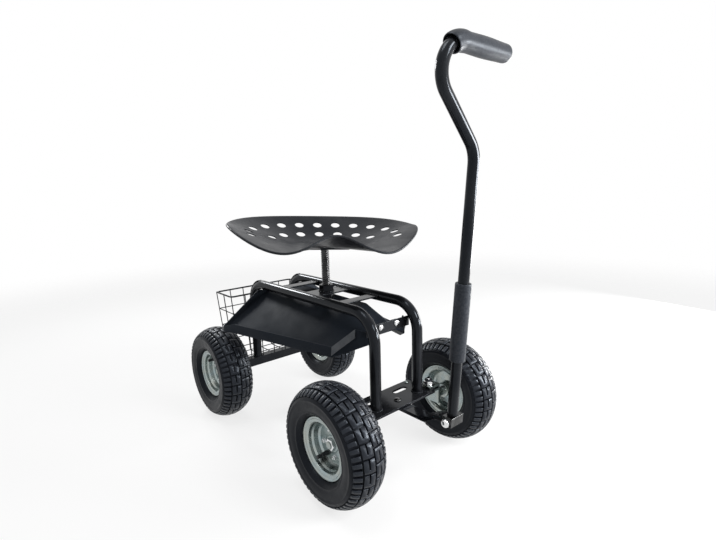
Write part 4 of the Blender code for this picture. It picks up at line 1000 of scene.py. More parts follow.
LUG_GAP = 1.9
LUG_DEPTH_SHARE = 0.8
LUG_STAGGER = 0.25


def hub_place(wheel):
    """Frame of a wheel: origin in its middle, local Z outboard."""
    side = 1 if wheel.endswith("left") else -1
    return Matrix.Translation(middle(wheel + "_rim")) @ Matrix.Rotation(-side * math.pi / 2, 4, "X")


def crown_point(sizes, across, out):
    """(radius, half width) of a point across the tread, the given height out from its surface."""
    lean = min(across, sizes.crown_half) / sizes.crown
    over = lean + max(across - sizes.crown_half, 0) / sizes.shoulder
    reach = sizes.shoulder + out
    arm = sizes.crown - sizes.shoulder
    return (
        sizes.radius - sizes.crown + arm * math.cos(lean) + reach * math.cos(over),
        arm * math.sin(lean) + reach * math.sin(over),
    )


def casing(sizes):
    """Tyre casing under the tread: crown, sidewalls with their rings, and beads on the rim."""
    crown = []
    for i in range(CASING_CELLS + 1):
        across = sizes.lug_reach * i / CASING_CELLS
        ease = max(0.0, (across - sizes.tread_half) / (sizes.lug_reach - sizes.tread_half))
        crown.append(crown_point(sizes, across, -sizes.depth * (1 - CASING_EASE * ease**4)))
    half = crown + list(TYRE_SIDEWALL)
    lower = [(radius, -height) for radius, height in half[1:]]
    return turned(list(reversed(half)) + lower, sizes.tyre_steps, closed=True)


def raised_block(columns, rows, filled, depth, chamfer):
    """A tread block over the filled (row, column) cells of a grid, its top edge chamfered."""
    shape = bmesh.new()
    corners = {}
    faces = []
    for row, column in filled:
        quad = []
        for i, j in ((row, column), (row + 1, column), (row + 1, column + 1), (row, column + 1)):
            if (i, j) not in corners:
                corners[i, j] = shape.verts.new((rows[i], columns[j], -depth))
            quad.append(corners[i, j])
        faces.append(shape.faces.new(quad))
    grown = bmesh.ops.extrude_face_region(shape, geom=faces)["geom"]
    tops = [part for part in grown if isinstance(part, bmesh.types.BMVert)]
    bmesh.ops.translate(shape, vec=(0, 0, depth), verts=tops)
    bmesh.ops.recalc_face_normals(shape, faces=shape.faces)
    height = -depth / 2
    brink = [
        edge
        for edge in shape.edges
        if is_sharp(edge) and all(vertex.co.z > height for vertex in edge.verts)
    ]
    bmesh.ops.bevel(shape, geom=brink, offset=chamfer, segments=1, affect="EDGES", clamp_overlap=True)
    return as_mesh(shape)


def tread_pitch(sizes):
    """One pitch of tread laid flat: X along the tread, Y across it, Z out from its surface."""
    pitch = 2 * math.pi * sizes.radius / sizes.pitches
    groove = sizes.groove
    inner = groove / 2
    outer = sizes.tread_half
    split = (inner + outer) / 2
    columns = (inner, split - groove / 2, split + groove / 2, outer)
    rows = (0, sizes.bar, (sizes.bar + pitch - groove) / 2, pitch - groove)
    comb_cells = [(0, 0), (0, 1), (0, 2), (1, 0), (1, 2), (2, 0), (2, 2)]
    root = sizes.depth + BLOCK_ROOT
    near = raised_block(columns, rows, comb_cells, root, sizes.block_edge)
    far = near.copy()
    far.transform(shift(1.5 * pitch - groove, 0, 0) @ Matrix.Rotation(math.pi, 4, "Z"))
    blocks = [near, far]
    start = outer + groove
    lug_columns = [start + (sizes.lug_reach - start) * i / LUG_CELLS for i in range(LUG_CELLS + 1)]
    lug = pitch / 2 - groove * LUG_GAP
    filled = [(0, i) for i in range(LUG_CELLS)]
    for i, side in ((0, 1), (1, 1), (0, -1), (1, -1)):
        block = raised_block(lug_columns, (0, lug), filled, root * LUG_DEPTH_SHARE, sizes.block_edge)
        if side < 0:
            block.transform(shift(lug, 0, 0) @ Matrix.Rotation(math.pi, 4, "Z"))
        stagger = pitch * (i + (LUG_STAGGER if side < 0 else 0)) / 2
        block.transform(shift(stagger, 0, 0))
        blocks.append(block)
    return joined(blocks)


class GARDENSEAT_OT_tyres(bpy.types.Operator):
    """Four pneumatic tyres with block tread and shoulder lugs"""

    bl_idname = "garden_seat.tyres"
    bl_label = "Tyres"

    def execute(self, context):
        sizes = context.scene.garden_wheels
        layout = {
            "Pitches": sizes.pitches,
            "Pitch": 2 * math.pi * sizes.radius / sizes.pitches,
            "Tyre radius": sizes.radius,
            "Crown radius": sizes.crown,
            "Crown half width": sizes.crown_half,
            "Shoulder radius": sizes.shoulder,
        }
        tread = tread_recipe().make(tread_pitch(sizes), finish_of("tyre"), layout)
        carcass = casing(sizes)
        for wheel in WHEELS:
            place = hub_place(wheel)
            mesh = placed(carcass.copy(), place)
            # The sidewalls take the casing finish: the tread's rubber painted darker, as painted shade.
            finished("tyre_" + wheel, mesh, "casing", [wheel + "_tyre"], crease=50)
            mesh = placed(tread.copy(), place)
            finished("tread_" + wheel, mesh, "tyre", body="wheel_" + wheel, crease=50)
        return {"FINISHED"}


def rim_half(hub_reach):
    """Section of one side of a rim, from the end of its hub tube over web and barrel to the lip."""
    corners = [(HUB_BORE, hub_reach), (HUB_RADIUS, hub_reach)] + list(RIM_SECTION)
    return rounded(corners, RIM_BEND)


class GARDENSEAT_OT_rims(bpy.types.Operator):
    """Four plated rims, with the bolts that hold their halves together"""

    bl_idname = "garden_seat.rims"
    bl_label = "Rims"

    def execute(self, context):
        sizes = context.scene.garden_wheels
        outside = rim_half(HUB_OUTBOARD)
        inside = [(radius, -height) for radius, height in rim_half(HUB_INBOARD)]
        rim = turned(outside + list(reversed(inside)), sizes.rim_steps, closed=True)
        head = hexagon(sizes.bolt_radius, sizes.bolt_radius * RIM_BOLT_HEAD)
        washer = turned(RIM_WASHER, steps=32)
        tail = turned(RIM_BOLT_TAIL, steps=24)
        bolt = joined([placed(head, shift(0, 0, RIM_WASHER_SHEET)), washer, tail])
        face = shift(0, 0, RIM_WEB_FACE)
        for wheel in WHEELS:
            place = hub_place(wheel)
            finished("rim_" + wheel, placed(rim.copy(), place), "zinc", [wheel + "_rim"])
            valve = place.inverted() @ middle(wheel + "_valve_stem")
            start = math.atan2(valve.y, valve.x) + math.pi / sizes.rim_bolts
            layout = {
                "Count": sizes.rim_bolts,
                "Circle radius": sizes.bolt_circle,
                "Start angle": start,
            }
            bolts = bolt_circle_recipe().make(bolt.copy(), finish_of("bright"), layout)
            finished("rim_bolts_" + wheel, placed(bolts, place @ face), "bright", body="wheel_" + wheel)
        return {"FINISHED"}


def bearing(top):
    """One bearing whose outer face stands at the given height, with its seal a little sunk."""
    outer, shield_out, shield_edge, shield_in, inner_edge, bore = BEARING_RADII
    recess = top - BEARING_RECESS
    low = top - BEARING_WIDTH
    section = [
        (outer, low),
        (outer, top),
        (shield_out, top),
        (shield_edge, recess),
        (shield_in, recess),
        (inner_edge, top),
        (bore, top),
        (bore, low),
    ]
    return turned(section, steps=64, closed=True)


class GARDENSEAT_OT_hubs(bpy.types.Operator):
    """Bearings, axle nuts and valve stems of the four wheels"""

    bl_idname = "garden_seat.hubs"
    bl_label = "Hubs"

    def execute(self, context):
        sizes = context.scene.garden_wheels
        inner = placed(bearing(HUB_INBOARD), Matrix.Rotation(math.pi, 4, "X"))
        bearings = joined([bearing(HUB_OUTBOARD), inner])
        nut = hexagon(NUT_RADIUS, NUT_HEIGHT, AXLE_RADIUS + SEAT_GAP)
        nut = placed(nut, shift(0, 0, HUB_OUTBOARD + NUT_GAP))
        low_corner, high_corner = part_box("front_left_valve_stem")
        reach = high_corner.y - low_corner.y
        profile = [(radius * sizes.valve_radius, height * reach) for radius, height in VALVE_SECTION]
        stem = turned(profile, steps=28)
        for wheel in WHEELS:
            place = hub_place(wheel)
            races = [wheel + "_outer_bearing", wheel + "_inner_bearing"]
            finished("bearings_" + wheel, placed(bearings.copy(), place), "bearing", races)
            finished("nut_" + wheel, placed(nut.copy(), place), "bright", [wheel + "_axle_nut"])
            spot = place.inverted() @ middle(wheel + "_valve_stem")
            foot = shift(spot.x, spot.y, spot.z - reach / 2)
            mesh = placed(stem.copy(), place @ foot)
            finished("valve_" + wheel, mesh, "valve", [wheel + "_valve_stem"])
        return {"FINISHED"}


# ---------------------------------------------------------------- frame


FLAT_BARS = (
    "front_cross_bar",
    "rear_cross_bar",
    "seat_plate",
    "front_tray_strap",
    "rear_tray_strap",
)
AXLE_BAR_EDGE = 2.5
WELD_SEED = 7
WELD_SINK = 0.0004
WELD_STEPS = 40
WELD_INSET = 0.002
WELD_STAND_OFF = 0.0005
AXLE_CHAMFER = 0.0012


def axle_x(end):
    """Where the front or rear axle stands."""
    return middle(end + "_left_rim").x


class GARDENSEAT_OT_rails(bpy.types.Operator):
    """Both bent rails and the weld beads that join the frame"""

    bl_idname = "garden_seat.rails"
    bl_label = "Rails and welds"

    def execute(self, context):
        sizes = context.scene.garden_frame
        paint = finish_of("paint")
        front, rear = axle_x("front"), axle_x("rear")
        front_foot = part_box("front_axle_plate")[1].z + SEAT_GAP
        rear_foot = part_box("rear_axle_bar")[1].z + SEAT_GAP
        tube = {"Radius": sizes.rail_radius, "Sides": sizes.tube_sides, "Bend cells": sizes.bend_cells}
        recipe = tube_recipe()
        beads = []
        for label, _ in SIDES:
            y = middle("frame_rail_" + label).y
            corners = [
                (front, y, front_foot),
                (front, y, sizes.rail_height),
                (rear, y, sizes.rail_height),
                (rear, y, rear_foot),
            ]
            path = path_mesh(corners, [0, sizes.rail_bend, sizes.rail_bend, 0])
            mesh = recipe.make(path, paint, tube)
            finished("rail_" + label, mesh, "paint", ["frame_rail_" + label])
            for x, foot in ((front, front_foot), (rear, rear_foot)):
                ring = circle(sizes.rail_radius + WELD_SINK, foot + WELD_SINK, WELD_STEPS)
                beads.append(([(x + px, y + py, pz) for px, py, pz in ring], True))
        beads += bar_welds()
        welding = {"Pitch": sizes.weld_pitch, "Drop radius": sizes.weld_radius, "Seed": WELD_SEED}
        mesh = weld_recipe().make(lines_mesh(beads), paint, welding)
        finished("frame_welds", mesh, "paint", body="frame", crease=70)
        return {"FINISHED"}


def bar_welds():
    """Lines along the ends of the flat bars, where they meet the rails, and round the seat socket."""
    lines = []
    for bar in ("front_cross_bar", "rear_cross_bar", "seat_plate"):
        low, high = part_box(bar)
        for y in (low.y, high.y):
            for z in (high.z, low.z):
                lines.append(([(low.x + WELD_INSET, y, z), (high.x - WELD_INSET, y, z)], False))
    low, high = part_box("seat_socket")
    centre = (low + high) / 2
    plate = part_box("seat_plate")
    for height in (plate[0].z - WELD_STAND_OFF, plate[1].z + WELD_STAND_OFF):
        ring = circle((high.x - low.x) / 2, height, WELD_STEPS)
        lines.append(([(centre.x + x, centre.y + y, z) for x, y, z in ring], True))
    return lines


class GARDENSEAT_OT_flat_bars(bpy.types.Operator):
    """Flat bars, straps, seat plate, rear axle and its bar, with rounded edges"""

    bl_idname = "garden_seat.flat_bars"
    bl_label = "Flat bars and rear axle"

    def execute(self, context):
        edge = context.scene.garden_frame.edge
        for name in FLAT_BARS:
            flat_metal(name.replace("_", "-"), name, edge)
        flat_metal("rear-axle-bar", "rear_axle_bar", edge * AXLE_BAR_EDGE, facets=3)
        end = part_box("rear_axle")[1].y
        half = [(0, end), (AXLE_RADIUS - AXLE_CHAMFER, end), (AXLE_RADIUS, end - AXLE_CHAMFER)]
        profile = half + [(radius, -height) for radius, height in reversed(half)]
        place = Matrix.Translation(middle("rear_axle")) @ Matrix.Rotation(-math.pi / 2, 4, "X")
        finished("axle_rear", placed(turned(profile, steps=40), place), "zinc", ["rear_axle"])
        for label, _ in SIDES:
            spot = tray_bolt_place(label)
            head = domed(*TRAY_BOLT)
            turn = Matrix.Rotation(math.pi / 2, 4, "Y")
            finished("strap_bolt_" + label, placed(head, spot @ turn), "bright", ["tray_bolt_" + label])
        return {"FINISHED"}


def tray_bolt_place(label):
    """Outer face of the front strap at one of its two bolts."""
    centre = middle("tray_bolt_" + label)
    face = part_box("front_tray_strap")[1].x + SEAT_GAP
    return shift(face, centre.y, centre.z)


# ---------------------------------------------------------------- tool tray


LIP_CELLS = 12
TRAY_PUNCH = 0.05
FRONT_EDGE = 0.999
TRAY_EDGE = 0.3


def tray_floor(sizes, wall, origin, along, across):
    """A point of the tray floor: along runs 0 to 1 rear to front, across runs -1 to 1."""
    outward = abs(across)
    swept = max(0.0, (outward - sizes.flat_share) / (1 - sizes.flat_share))
    front = wall - sizes.sweep * swept
    rear = origin - sizes.rear_reach
    half_width = sizes.half_rear + (sizes.half_front - sizes.half_rear) * along
    inset = min(1 - along, sizes.hip_share) / sizes.hip_share
    ridge = sizes.end_height + (sizes.ridge - sizes.end_height) * inset
    slope = max(0.0, (outward - sizes.roof_share) / (1 - sizes.roof_share))
    height = ridge + (sizes.lip - ridge) * slope
    return Vector((rear + (front - rear) * along, across * half_width, height))


class GARDENSEAT_OT_tray(bpy.types.Operator):
    """Moulded tool tray, roofed along the middle, with a raised rim"""

    bl_idname = "garden_seat.tray"
    bl_label = "Tool tray"

    def execute(self, context):
        sizes = context.scene.garden_tray
        tubes = context.scene.garden_frame
        origin = (axle_x("front") + axle_x("rear")) / 2
        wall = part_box("front_tray_strap")[0].x - SEAT_GAP - sizes.sheet / 2
        ceiling = tubes.rail_height - tubes.rail_radius - SEAT_GAP
        shape = bmesh.new()
        bmesh.ops.create_grid(shape, x_segments=sizes.cells, y_segments=sizes.cells, size=0.5)
        border = [edge for edge in shape.edges if edge.is_boundary]
        grown = bmesh.ops.extrude_edge_only(shape, edges=border)["geom"]
        rim = {part for part in grown if isinstance(part, bmesh.types.BMVert)}
        for vertex in shape.verts:
            along = vertex.co.x + 0.5
            across = vertex.co.y * 2
            vertex.co = tray_floor(sizes, wall, origin, along, across)
            if vertex in rim:
                vertex.co.z = min(vertex.co.z + rim_height(sizes, along, across), ceiling)
        holder = linked("tray_sheet", as_mesh(shape))
        soften(holder, sizes.corner, facets=3, limit=14)
        thicken(holder, sizes.sheet, 0)
        soften(holder, sizes.sheet * TRAY_EDGE, facets=2, limit=60)
        sheet = baked(holder)
        post = middle("seat_socket")
        hole = [((post.x, post.y, sizes.ridge), UP)]
        mesh = punched(sheet, finish_of("tray"), hole, sizes.hole_radius, TRAY_PUNCH)
        finished("tray_moulding", mesh, "tray", ["tool_tray"], crease=50)
        for label, side in SIDES:
            tops = []
            for i in range(LIP_CELLS + 1):
                across = side * (1 - (1 - sizes.rise_share) * i / LIP_CELLS)
                top = tray_floor(sizes, wall, origin, 1.0, across)
                top.z = min(top.z + rim_height(sizes, 1.0, across), ceiling)
                tops.append(top)
            # The folded lips take the edge finish, whose paler colour is a painted sheen.
            finished("tray_lip_" + label, folded_lip(sizes, tops), "edge", body="frame")
        return {"FINISHED"}


def rim_height(sizes, along, across):
    """Height of the rim over the floor: lower at the rear corners, higher along the front edge."""
    outward = abs(across)
    dip = max(0.0, 1 - along / sizes.dip_share) * max(0.0, outward - sizes.flat_share)
    height = sizes.rim * (1 - sizes.corner_dip * dip / (1 - sizes.flat_share))
    if along > FRONT_EDGE:
        fall = (outward - sizes.flat_share) / (sizes.rise_share - sizes.flat_share)
        height += sizes.front_rise * max(0.0, min(fall, (1 - outward) / (1 - sizes.rise_share)))
    return height


def folded_lip(sizes, tops):
    """The edge of the moulding folded out and down over the front rim."""
    out = (tops[-1] - tops[0]).cross(UP)
    if out.x < 0:
        out.negate()
    out.normalize()
    down = out * sizes.fold_reach - UP * sizes.fold
    face = (out * sizes.fold + UP * sizes.fold_reach).normalized() * (sizes.sheet / 2)
    rings = [[tops[0] + down / 2]]
    for top in tops:
        rings.append([top - face, top + face, top + down + face, top + down - face])
    rings.append([tops[-1] + down / 2])
    return skinned(rings)


# ---------------------------------------------------------------- basket


HOOK_CELLS = 20
HOOK_EDGE = 0.2


class GARDENSEAT_OT_basket(bpy.types.Operator):
    """Wire basket with its rim wire and the two hooks it hangs by"""

    bl_idname = "garden_seat.basket"
    bl_label = "Wire basket"

    def execute(self, context):
        sizes = context.scene.garden_basket
        paint = finish_of("paint")
        low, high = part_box("basket")
        centre = Vector(((low.x + high.x) / 2, 0, sizes.rim_height))
        place = Matrix.Translation(centre)
        wires = {"Wire radius": sizes.wire_radius, "Sides": 8}
        net = net_recipe().make(basket_net(sizes), paint, wires)
        corners = [
            (x * sizes.deep / 2, y * sizes.long / 2, 0) for x, y in ((1, 1), (-1, 1), (-1, -1), (1, -1))
        ]
        path = path_mesh(corners, [sizes.corner] * len(corners), closed=True)
        rim = tube_recipe().make(path, paint, {"Radius": sizes.rim_radius, "Sides": 12, "Bend cells": 6})
        mesh = placed(joined([net, rim]), place)
        finished("wire_basket", mesh, "paint", ["basket"], crease=60)
        tubes = context.scene.garden_frame
        rear = axle_x("rear")
        for label, _ in SIDES:
            node_low, node_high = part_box("basket_hook_" + label)
            y = (node_low.y + node_high.y) / 2
            bend = Vector((rear + tubes.rail_bend, y, tubes.rail_height - tubes.rail_bend))
            mesh = placed(hook(tubes, node_low.z - bend.z), Matrix.Translation(bend))
            finished("hook_" + label, mesh, "paint", ["basket_hook_" + label])
        return {"FINISHED"}


def basket_net(sizes):
    """Edges of the net: an open box divided into meshes and tapered towards its floor."""
    shape = bmesh.new()
    bmesh.ops.create_cube(shape, size=1)
    top = [face for face in shape.faces if face.normal.z > 0.5]
    bmesh.ops.delete(shape, geom=top, context="FACES_ONLY")
    for axis, number in enumerate((sizes.rows, sizes.columns, sizes.rings)):
        normal = Vector((0, 0, 0))
        normal[axis] = 1
        for i in range(1, number):
            bmesh.ops.bisect_plane(
                shape,
                geom=shape.verts[:] + shape.edges[:] + shape.faces[:],
                plane_co=normal * (i / number - 0.5),
                plane_no=normal,
            )
    bmesh.ops.delete(shape, geom=shape.faces[:], context="FACES_ONLY")
    for vertex in shape.verts:
        depth = 0.5 - vertex.co.z
        taper = sizes.taper * depth
        vertex.co.y *= sizes.long - 2 * taper
        vertex.co.x = vertex.co.x * (sizes.deep - taper) + taper / 2
        vertex.co.z = -depth * sizes.high
    return plain_mesh(shape)


def hook(tubes, foot):
    """A strip that lies over the outside of a rail's rear bend and hangs down behind its leg."""
    radius = tubes.rail_bend + tubes.rail_radius + SEAT_GAP + tubes.hook_sheet / 2
    path = [(-radius, foot)]
    for i in range(HOOK_CELLS + 1):
        turn = math.pi - tubes.hook_sweep * i / HOOK_CELLS
        path.append((radius * math.cos(turn), radius * math.sin(turn)))
    half = tubes.hook_width / 2
    shape = bmesh.new()
    rows = [[shape.verts.new((x, y, z)) for y in (-half, half)] for x, z in path]
    for first, second in zip(rows, rows[1:]):
        shape.faces.new((first[0], second[0], second[1], first[1]))
    holder = linked("hook", as_mesh(shape))
    thicken(holder, tubes.hook_sheet, 0)
    soften(holder, tubes.hook_sheet * HOOK_EDGE, facets=2, limit=50)
    return baked(holder)


# ---------------------------------------------------------------- front axle


PLATE_BOLT_SETBACK = -0.0515
PLATE_BOLT_SPREAD = 0.095 * 0.9
KNUCKLE_EDGE = 0.8
PIN_RADIUS = 0.006
PIN_HEAD_RADIUS = 0.010
PIN_HEAD_HEIGHT = 0.005
PIN_CHAMFER = 0.0012
WASHER_RISE = 0.0022
WASHER_FLANK = 0.0012
WASHER_CHAMFER = 0.0008
FLANGE_NUT_SHARE = 0.96
FLANGE_NUT_HEIGHT = 0.0085
RING_BASE = 0.0078
RING_TOP = 0.0125
RING_RADII = (0.0062, 0.0096)
RING_EDGE = 0.001
RING_SLOPE = 0.0006
RING_ROUNDING = 0.0008
ROD_RADIUS = 0.003


class GARDENSEAT_OT_front_axle(bpy.types.Operator):
    """Axle plate, knuckles, kingpins, tie rods, tongue and the steering bolt"""

    bl_idname = "garden_seat.front_axle"
    bl_label = "Front axle and steering"

    def execute(self, context):
        edge = context.scene.garden_frame.edge
        flat_metal("axle-plate", "front_axle_plate", edge)
        flat_metal("draw-tongue", "tongue", edge)
        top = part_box("front_axle_plate")[1].z
        heads = []
        for _, side in SIDES:
            spot = shift(axle_x("front") + PLATE_BOLT_SETBACK, side * PLATE_BOLT_SPREAD, top)
            heads.append(placed(domed(*PLATE_BOLT), spot))
        finished("axle_plate_bolts", joined(heads), "zinc", body="frame")
        low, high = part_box("steer_pivot_bolt")
        centre = (low + high) / 2
        radius = (high.x - low.x) / 2
        head = domed(radius, high.z - top - SEAT_GAP, PIN_RADIUS, top + SEAT_GAP - low.z)
        mesh = placed(head, shift(centre.x, centre.y, top + SEAT_GAP))
        finished("steering_bolt", mesh, "dark", ["steer_pivot_bolt"])
        for label, _ in SIDES:
            name = "knuckle_" + label
            flat_metal("steering_" + name, name, edge * KNUCKLE_EDGE, "zinc")
            finished("pin_" + label, kingpin(label), "bright", ["kingpin_" + label])
            finished("lock_ring_" + label, lock_ring(label), "grip", body="frame")
            finished("rod_" + label, tie_rod(label), "paint", ["tie_rod_" + label])
        return {"FINISHED"}


def nut_foot(label):
    """Height at which a kingpin's nut stands over its knuckle."""
    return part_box("knuckle_" + label)[1].z + NUT_GAP


def kingpin(label):
    """Kingpin with its head below, and a washer and a flanged locking nut on top."""
    low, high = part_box("kingpin_" + label)
    foot = nut_foot(label)
    radius = (high.x - low.x) / 2
    top = foot + WASHER_RISE
    section = [
        (0, top),
        (radius - WASHER_CHAMFER, top),
        (radius, foot + WASHER_FLANK),
        (radius, foot),
        (0, foot),
    ]
    washer = turned(section, ROUND_STEPS)
    nut = placed(hexagon(radius * FLANGE_NUT_SHARE, FLANGE_NUT_HEIGHT), shift(0, 0, foot))
    section = [
        (0, high.z),
        (PIN_RADIUS - PIN_CHAMFER, high.z),
        (PIN_RADIUS, high.z - PIN_CHAMFER),
        (PIN_RADIUS, low.z),
        (0, low.z),
    ]
    tail = turned(section, steps=32)
    head = placed(hexagon(PIN_HEAD_RADIUS, PIN_HEAD_HEIGHT), shift(0, 0, low.z))
    centre = (low + high) / 2
    return placed(joined([nut, washer, tail, head]), shift(centre.x, centre.y, 0))


def lock_ring(label):
    """Dark locking ring in the crown of a kingpin nut."""
    foot = nut_foot(label)
    base, top = foot + RING_BASE, foot + RING_TOP
    inner, outer = RING_RADII
    corners = [
        (inner, top - RING_EDGE),
        (inner + RING_SLOPE, top),
        (outer - RING_EDGE, top),
        (outer, base),
    ]
    section = rounded(corners, RING_ROUNDING)
    ring = turned(section + [(inner, base)], ROUND_STEPS, closed=True)
    centre = middle("kingpin_" + label)
    return placed(ring, shift(centre.x, centre.y, 0))


def tie_rod(label):
    """A round rod cranked up at both ends into its pivots."""
    low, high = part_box("tie_rod_" + label)
    x = (low.x + high.x) / 2
    ends = (low.y + ROD_RADIUS, high.y - ROD_RADIUS)
    run = low.z + ROD_RADIUS
    corners = [(x, ends[0], high.z), (x, ends[0], run), (x, ends[1], run), (x, ends[1], high.z)]
    bend = ROD_RADIUS + NUT_GAP
    path = path_mesh(corners, [0, bend, bend, 0])
    tube = {"Radius": ROD_RADIUS, "Sides": 16, "Bend cells": 6}
    return tube_recipe().make(path, finish_of("paint"), tube)


# ---------------------------------------------------------------- handle


YOKE_EDGE = 0.0018
SLEEVE_ROUNDING = 0.0022
# Pivot bolt: head radius, head height and shank radius; corner radius and height of its nut.
PIVOT_DOME = (0.009, 0.009, 0.005)
PIVOT_NUT = (0.009, 0.006)
GRIP_SOFTNESS = 0.010
GRIP_FLARE = 0.016
GRIP_MOUTH_WALL = 0.0024
GRIP_MOUTH_LIP = ((0.0010, -0.0006), (0.0002, 0.0008))
GRIP_BELLY = 0.0006
BEND_END = 0.001
GRIP_CELLS = 10
GRIP_END_CELLS = 8


def handle_place(sizes):
    """Frame of the handle: origin on its pivot, local Z up along the tube."""
    pivot = middle("handle_pivot_bolt")
    return shift(pivot.x, 0, pivot.z) @ Matrix.Rotation(sizes.lean, 4, "Y")


class GARDENSEAT_OT_handle(bpy.types.Operator):
    """Pull handle: bent tube, yoke, pivot bolt, sleeve and top grip"""

    bl_idname = "garden_seat.handle"
    bl_label = "Pull handle"

    def execute(self, context):
        sizes = context.scene.garden_handle
        tubes = context.scene.garden_frame
        place = handle_place(sizes)
        rise = sizes.grip_height - sizes.crook_height
        corners = [
            (0, 0, sizes.foot),
            (0, 0, sizes.crook_height),
            (0, -rise * math.tan(sizes.crook_angle), sizes.grip_height),
            (0, sizes.top_reach - SEAT_GAP, sizes.grip_height),
        ]
        path = path_mesh(corners, [0, sizes.crook_bend, sizes.top_bend, 0])
        tube = {"Radius": sizes.tube_radius, "Sides": tubes.tube_sides, "Bend cells": 24}
        mesh = placed(tube_recipe().make(path, finish_of("paint"), tube), place)
        finished("handle_bar", mesh, "paint", ["handle_tube"])
        flat_metal("foot_yoke", "handle_yoke", YOKE_EDGE, "dark", 3)
        finished("pivot_bolt", placed(pivot_bolt(), place), "bright", ["handle_pivot_bolt"])
        bore = sizes.tube_radius + SEAT_GAP
        top = sizes.mid_bottom + sizes.mid_length
        section = [
            (bore, top),
            (sizes.mid_radius, top),
            (sizes.mid_radius, sizes.mid_bottom),
            (bore, sizes.mid_bottom),
        ]
        sleeve = turned(rounded(section, SLEEVE_ROUNDING, 4), ROUND_STEPS, closed=True)
        finished("sleeve_grip", placed(sleeve, place), "grip", ["mid_grip"])
        finished("end_grip", placed(end_grip(sizes, bore), place), "grip", ["top_grip"])
        return {"FINISHED"}


def end_grip(sizes, bore):
    """Top grip: a foam sleeve drawn round the top bend, with a wide mouth and a rounded closed end."""
    turn = math.pi / 2 + sizes.crook_angle
    rise = sizes.grip_height - sizes.crook_height
    start = sizes.top_bend * math.tan(turn / 2) - rise * math.tan(sizes.crook_angle)
    mouth = -sizes.top_bend * sizes.top_cover
    end = sizes.top_reach - start
    cap = end + sizes.top_end
    radius = sizes.top_radius
    soft = GRIP_SOFTNESS
    cells = GRIP_CELLS
    profile = [(0.0, end), (bore, end), (bore, 0.0)]
    for i in range(1, cells + 1):
        run = mouth * i / cells
        wide = smooth(1 - (run - mouth) / GRIP_FLARE)
        profile.append((bore + (radius - GRIP_MOUTH_WALL - bore) * wide, run))
    profile += [(radius - inset, mouth + run) for inset, run in GRIP_MOUTH_LIP]
    for i in range(1, cells + 1):
        profile.append((radius, mouth + (BEND_END - mouth) * i / cells))
    for i in range(1, cells + 1):
        belly = GRIP_BELLY * math.cos(math.pi * (i / cells - 0.5) * 2) - GRIP_BELLY
        profile.append((radius + belly, BEND_END + (cap - soft - BEND_END) * i / cells))
    for i in range(1, GRIP_END_CELLS + 1):
        lean = math.pi / 2 * i / GRIP_END_CELLS
        inset = 2 * GRIP_BELLY + soft - soft * math.cos(lean)
        profile.append((radius - inset, cap - soft + soft * math.sin(lean)))
    profile.append((0.0, cap))
    return skinned([bend_ring(sizes, start, run, size, ROUND_STEPS) for size, run in profile])


def bend_ring(sizes, start, run, radius, steps):
    """A ring of points about the handle's top, run metres past the end of the top bend."""
    back = max(0.0, -run / sizes.top_bend)
    place = Vector((0, start + max(0.0, run), sizes.grip_height))
    place -= Vector((0, math.sin(back), 1 - math.cos(back))) * sizes.top_bend
    if radius == 0:
        return [place]
    side = Vector((0, -math.sin(back), math.cos(back)))
    across = Vector((1, 0, 0))
    turns = [2 * math.pi * i / steps for i in range(steps)]
    return [place + (across * math.cos(turn) + side * math.sin(turn)) * radius for turn in turns]


def pivot_bolt():
    """Bolt across the yoke: a high dome on the right, a nut on the left."""
    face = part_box("handle_yoke")[1].y + SEAT_GAP
    to_right = Matrix.Rotation(math.pi / 2, 4, "X")
    to_left = Matrix.Rotation(-math.pi / 2, 4, "X")
    dome = placed(domed(*PIVOT_DOME, 2 * face), shift(0, -face, 0) @ to_right)
    nut = placed(hexagon(*PIVOT_NUT), shift(0, face, 0) @ to_left)
    return joined([dome, nut])


# ---------------------------------------------------------------- seat


HOLE_SEARCH_STEP = 0.002
SQUARE_STEP = 0.01
RIM_FINENESS = 24
FLANGE_EDGE = 1.5
RING_CROWDING = 0.9
CURL_CELLS = 6
CURL_SWEEP = math.radians(150)
CURL_INSET = 0.02
PAN_BOLT_SPACING = 0.070
PUNCH_LENGTH = 0.03
THREAD_CELLS = 8
SOCKET_PLAY = 0.0006
SOCKET_TUBE_SHARE = 0.88
SOCKET_ROUNDING = 0.001


def signed_power(value, power):
    """A power that keeps the sign."""
    return math.copysign(abs(value) ** power, value)


def smooth(value):
    """An S-shaped step from 0 to 1."""
    value = min(max(value, 0.0), 1.0)
    return value * value * (3 - 2 * value)


def pan_point(sizes, place, turn):
    """A point of the seat pan: place 0 at the post to 1 at the rim, turn 0 at the back."""
    roundness = 2 / sizes.squareness
    lengthways = -signed_power(math.cos(turn), roundness)
    half_width = sizes.half_width * (1 - sizes.narrowing * smooth(lengthways))
    sideways = half_width * signed_power(math.sin(turn), roundness)
    if lengthways < 0:
        forward = sizes.back * lengthways
        rise = sizes.back_rise + (sizes.side_rise - sizes.back_rise) * smooth(1 + lengthways)
    else:
        pommel = math.exp(-((sideways / sizes.pommel_half) ** 2))
        forward = (sizes.front + (sizes.pommel_front - sizes.front) * pommel) * lengthways
        rise = sizes.side_rise + (sizes.lobe_rise - sizes.side_rise) * smooth(lengthways)
        rise += (sizes.pommel_rise - sizes.lobe_rise) * pommel
    curved = max(0.0, (place - sizes.flat_share) / (1 - sizes.flat_share))
    return Vector((forward * place, sideways * place, rise * curved**sizes.curve))


def pan_square(sizes, place, turn):
    """Direction square to the pan at a point."""
    step = SQUARE_STEP
    outward = pan_point(sizes, place + step, turn) - pan_point(sizes, place - step, turn)
    around = pan_point(sizes, place, turn + step) - pan_point(sizes, place, turn - step)
    return outward.cross(around).normalized()


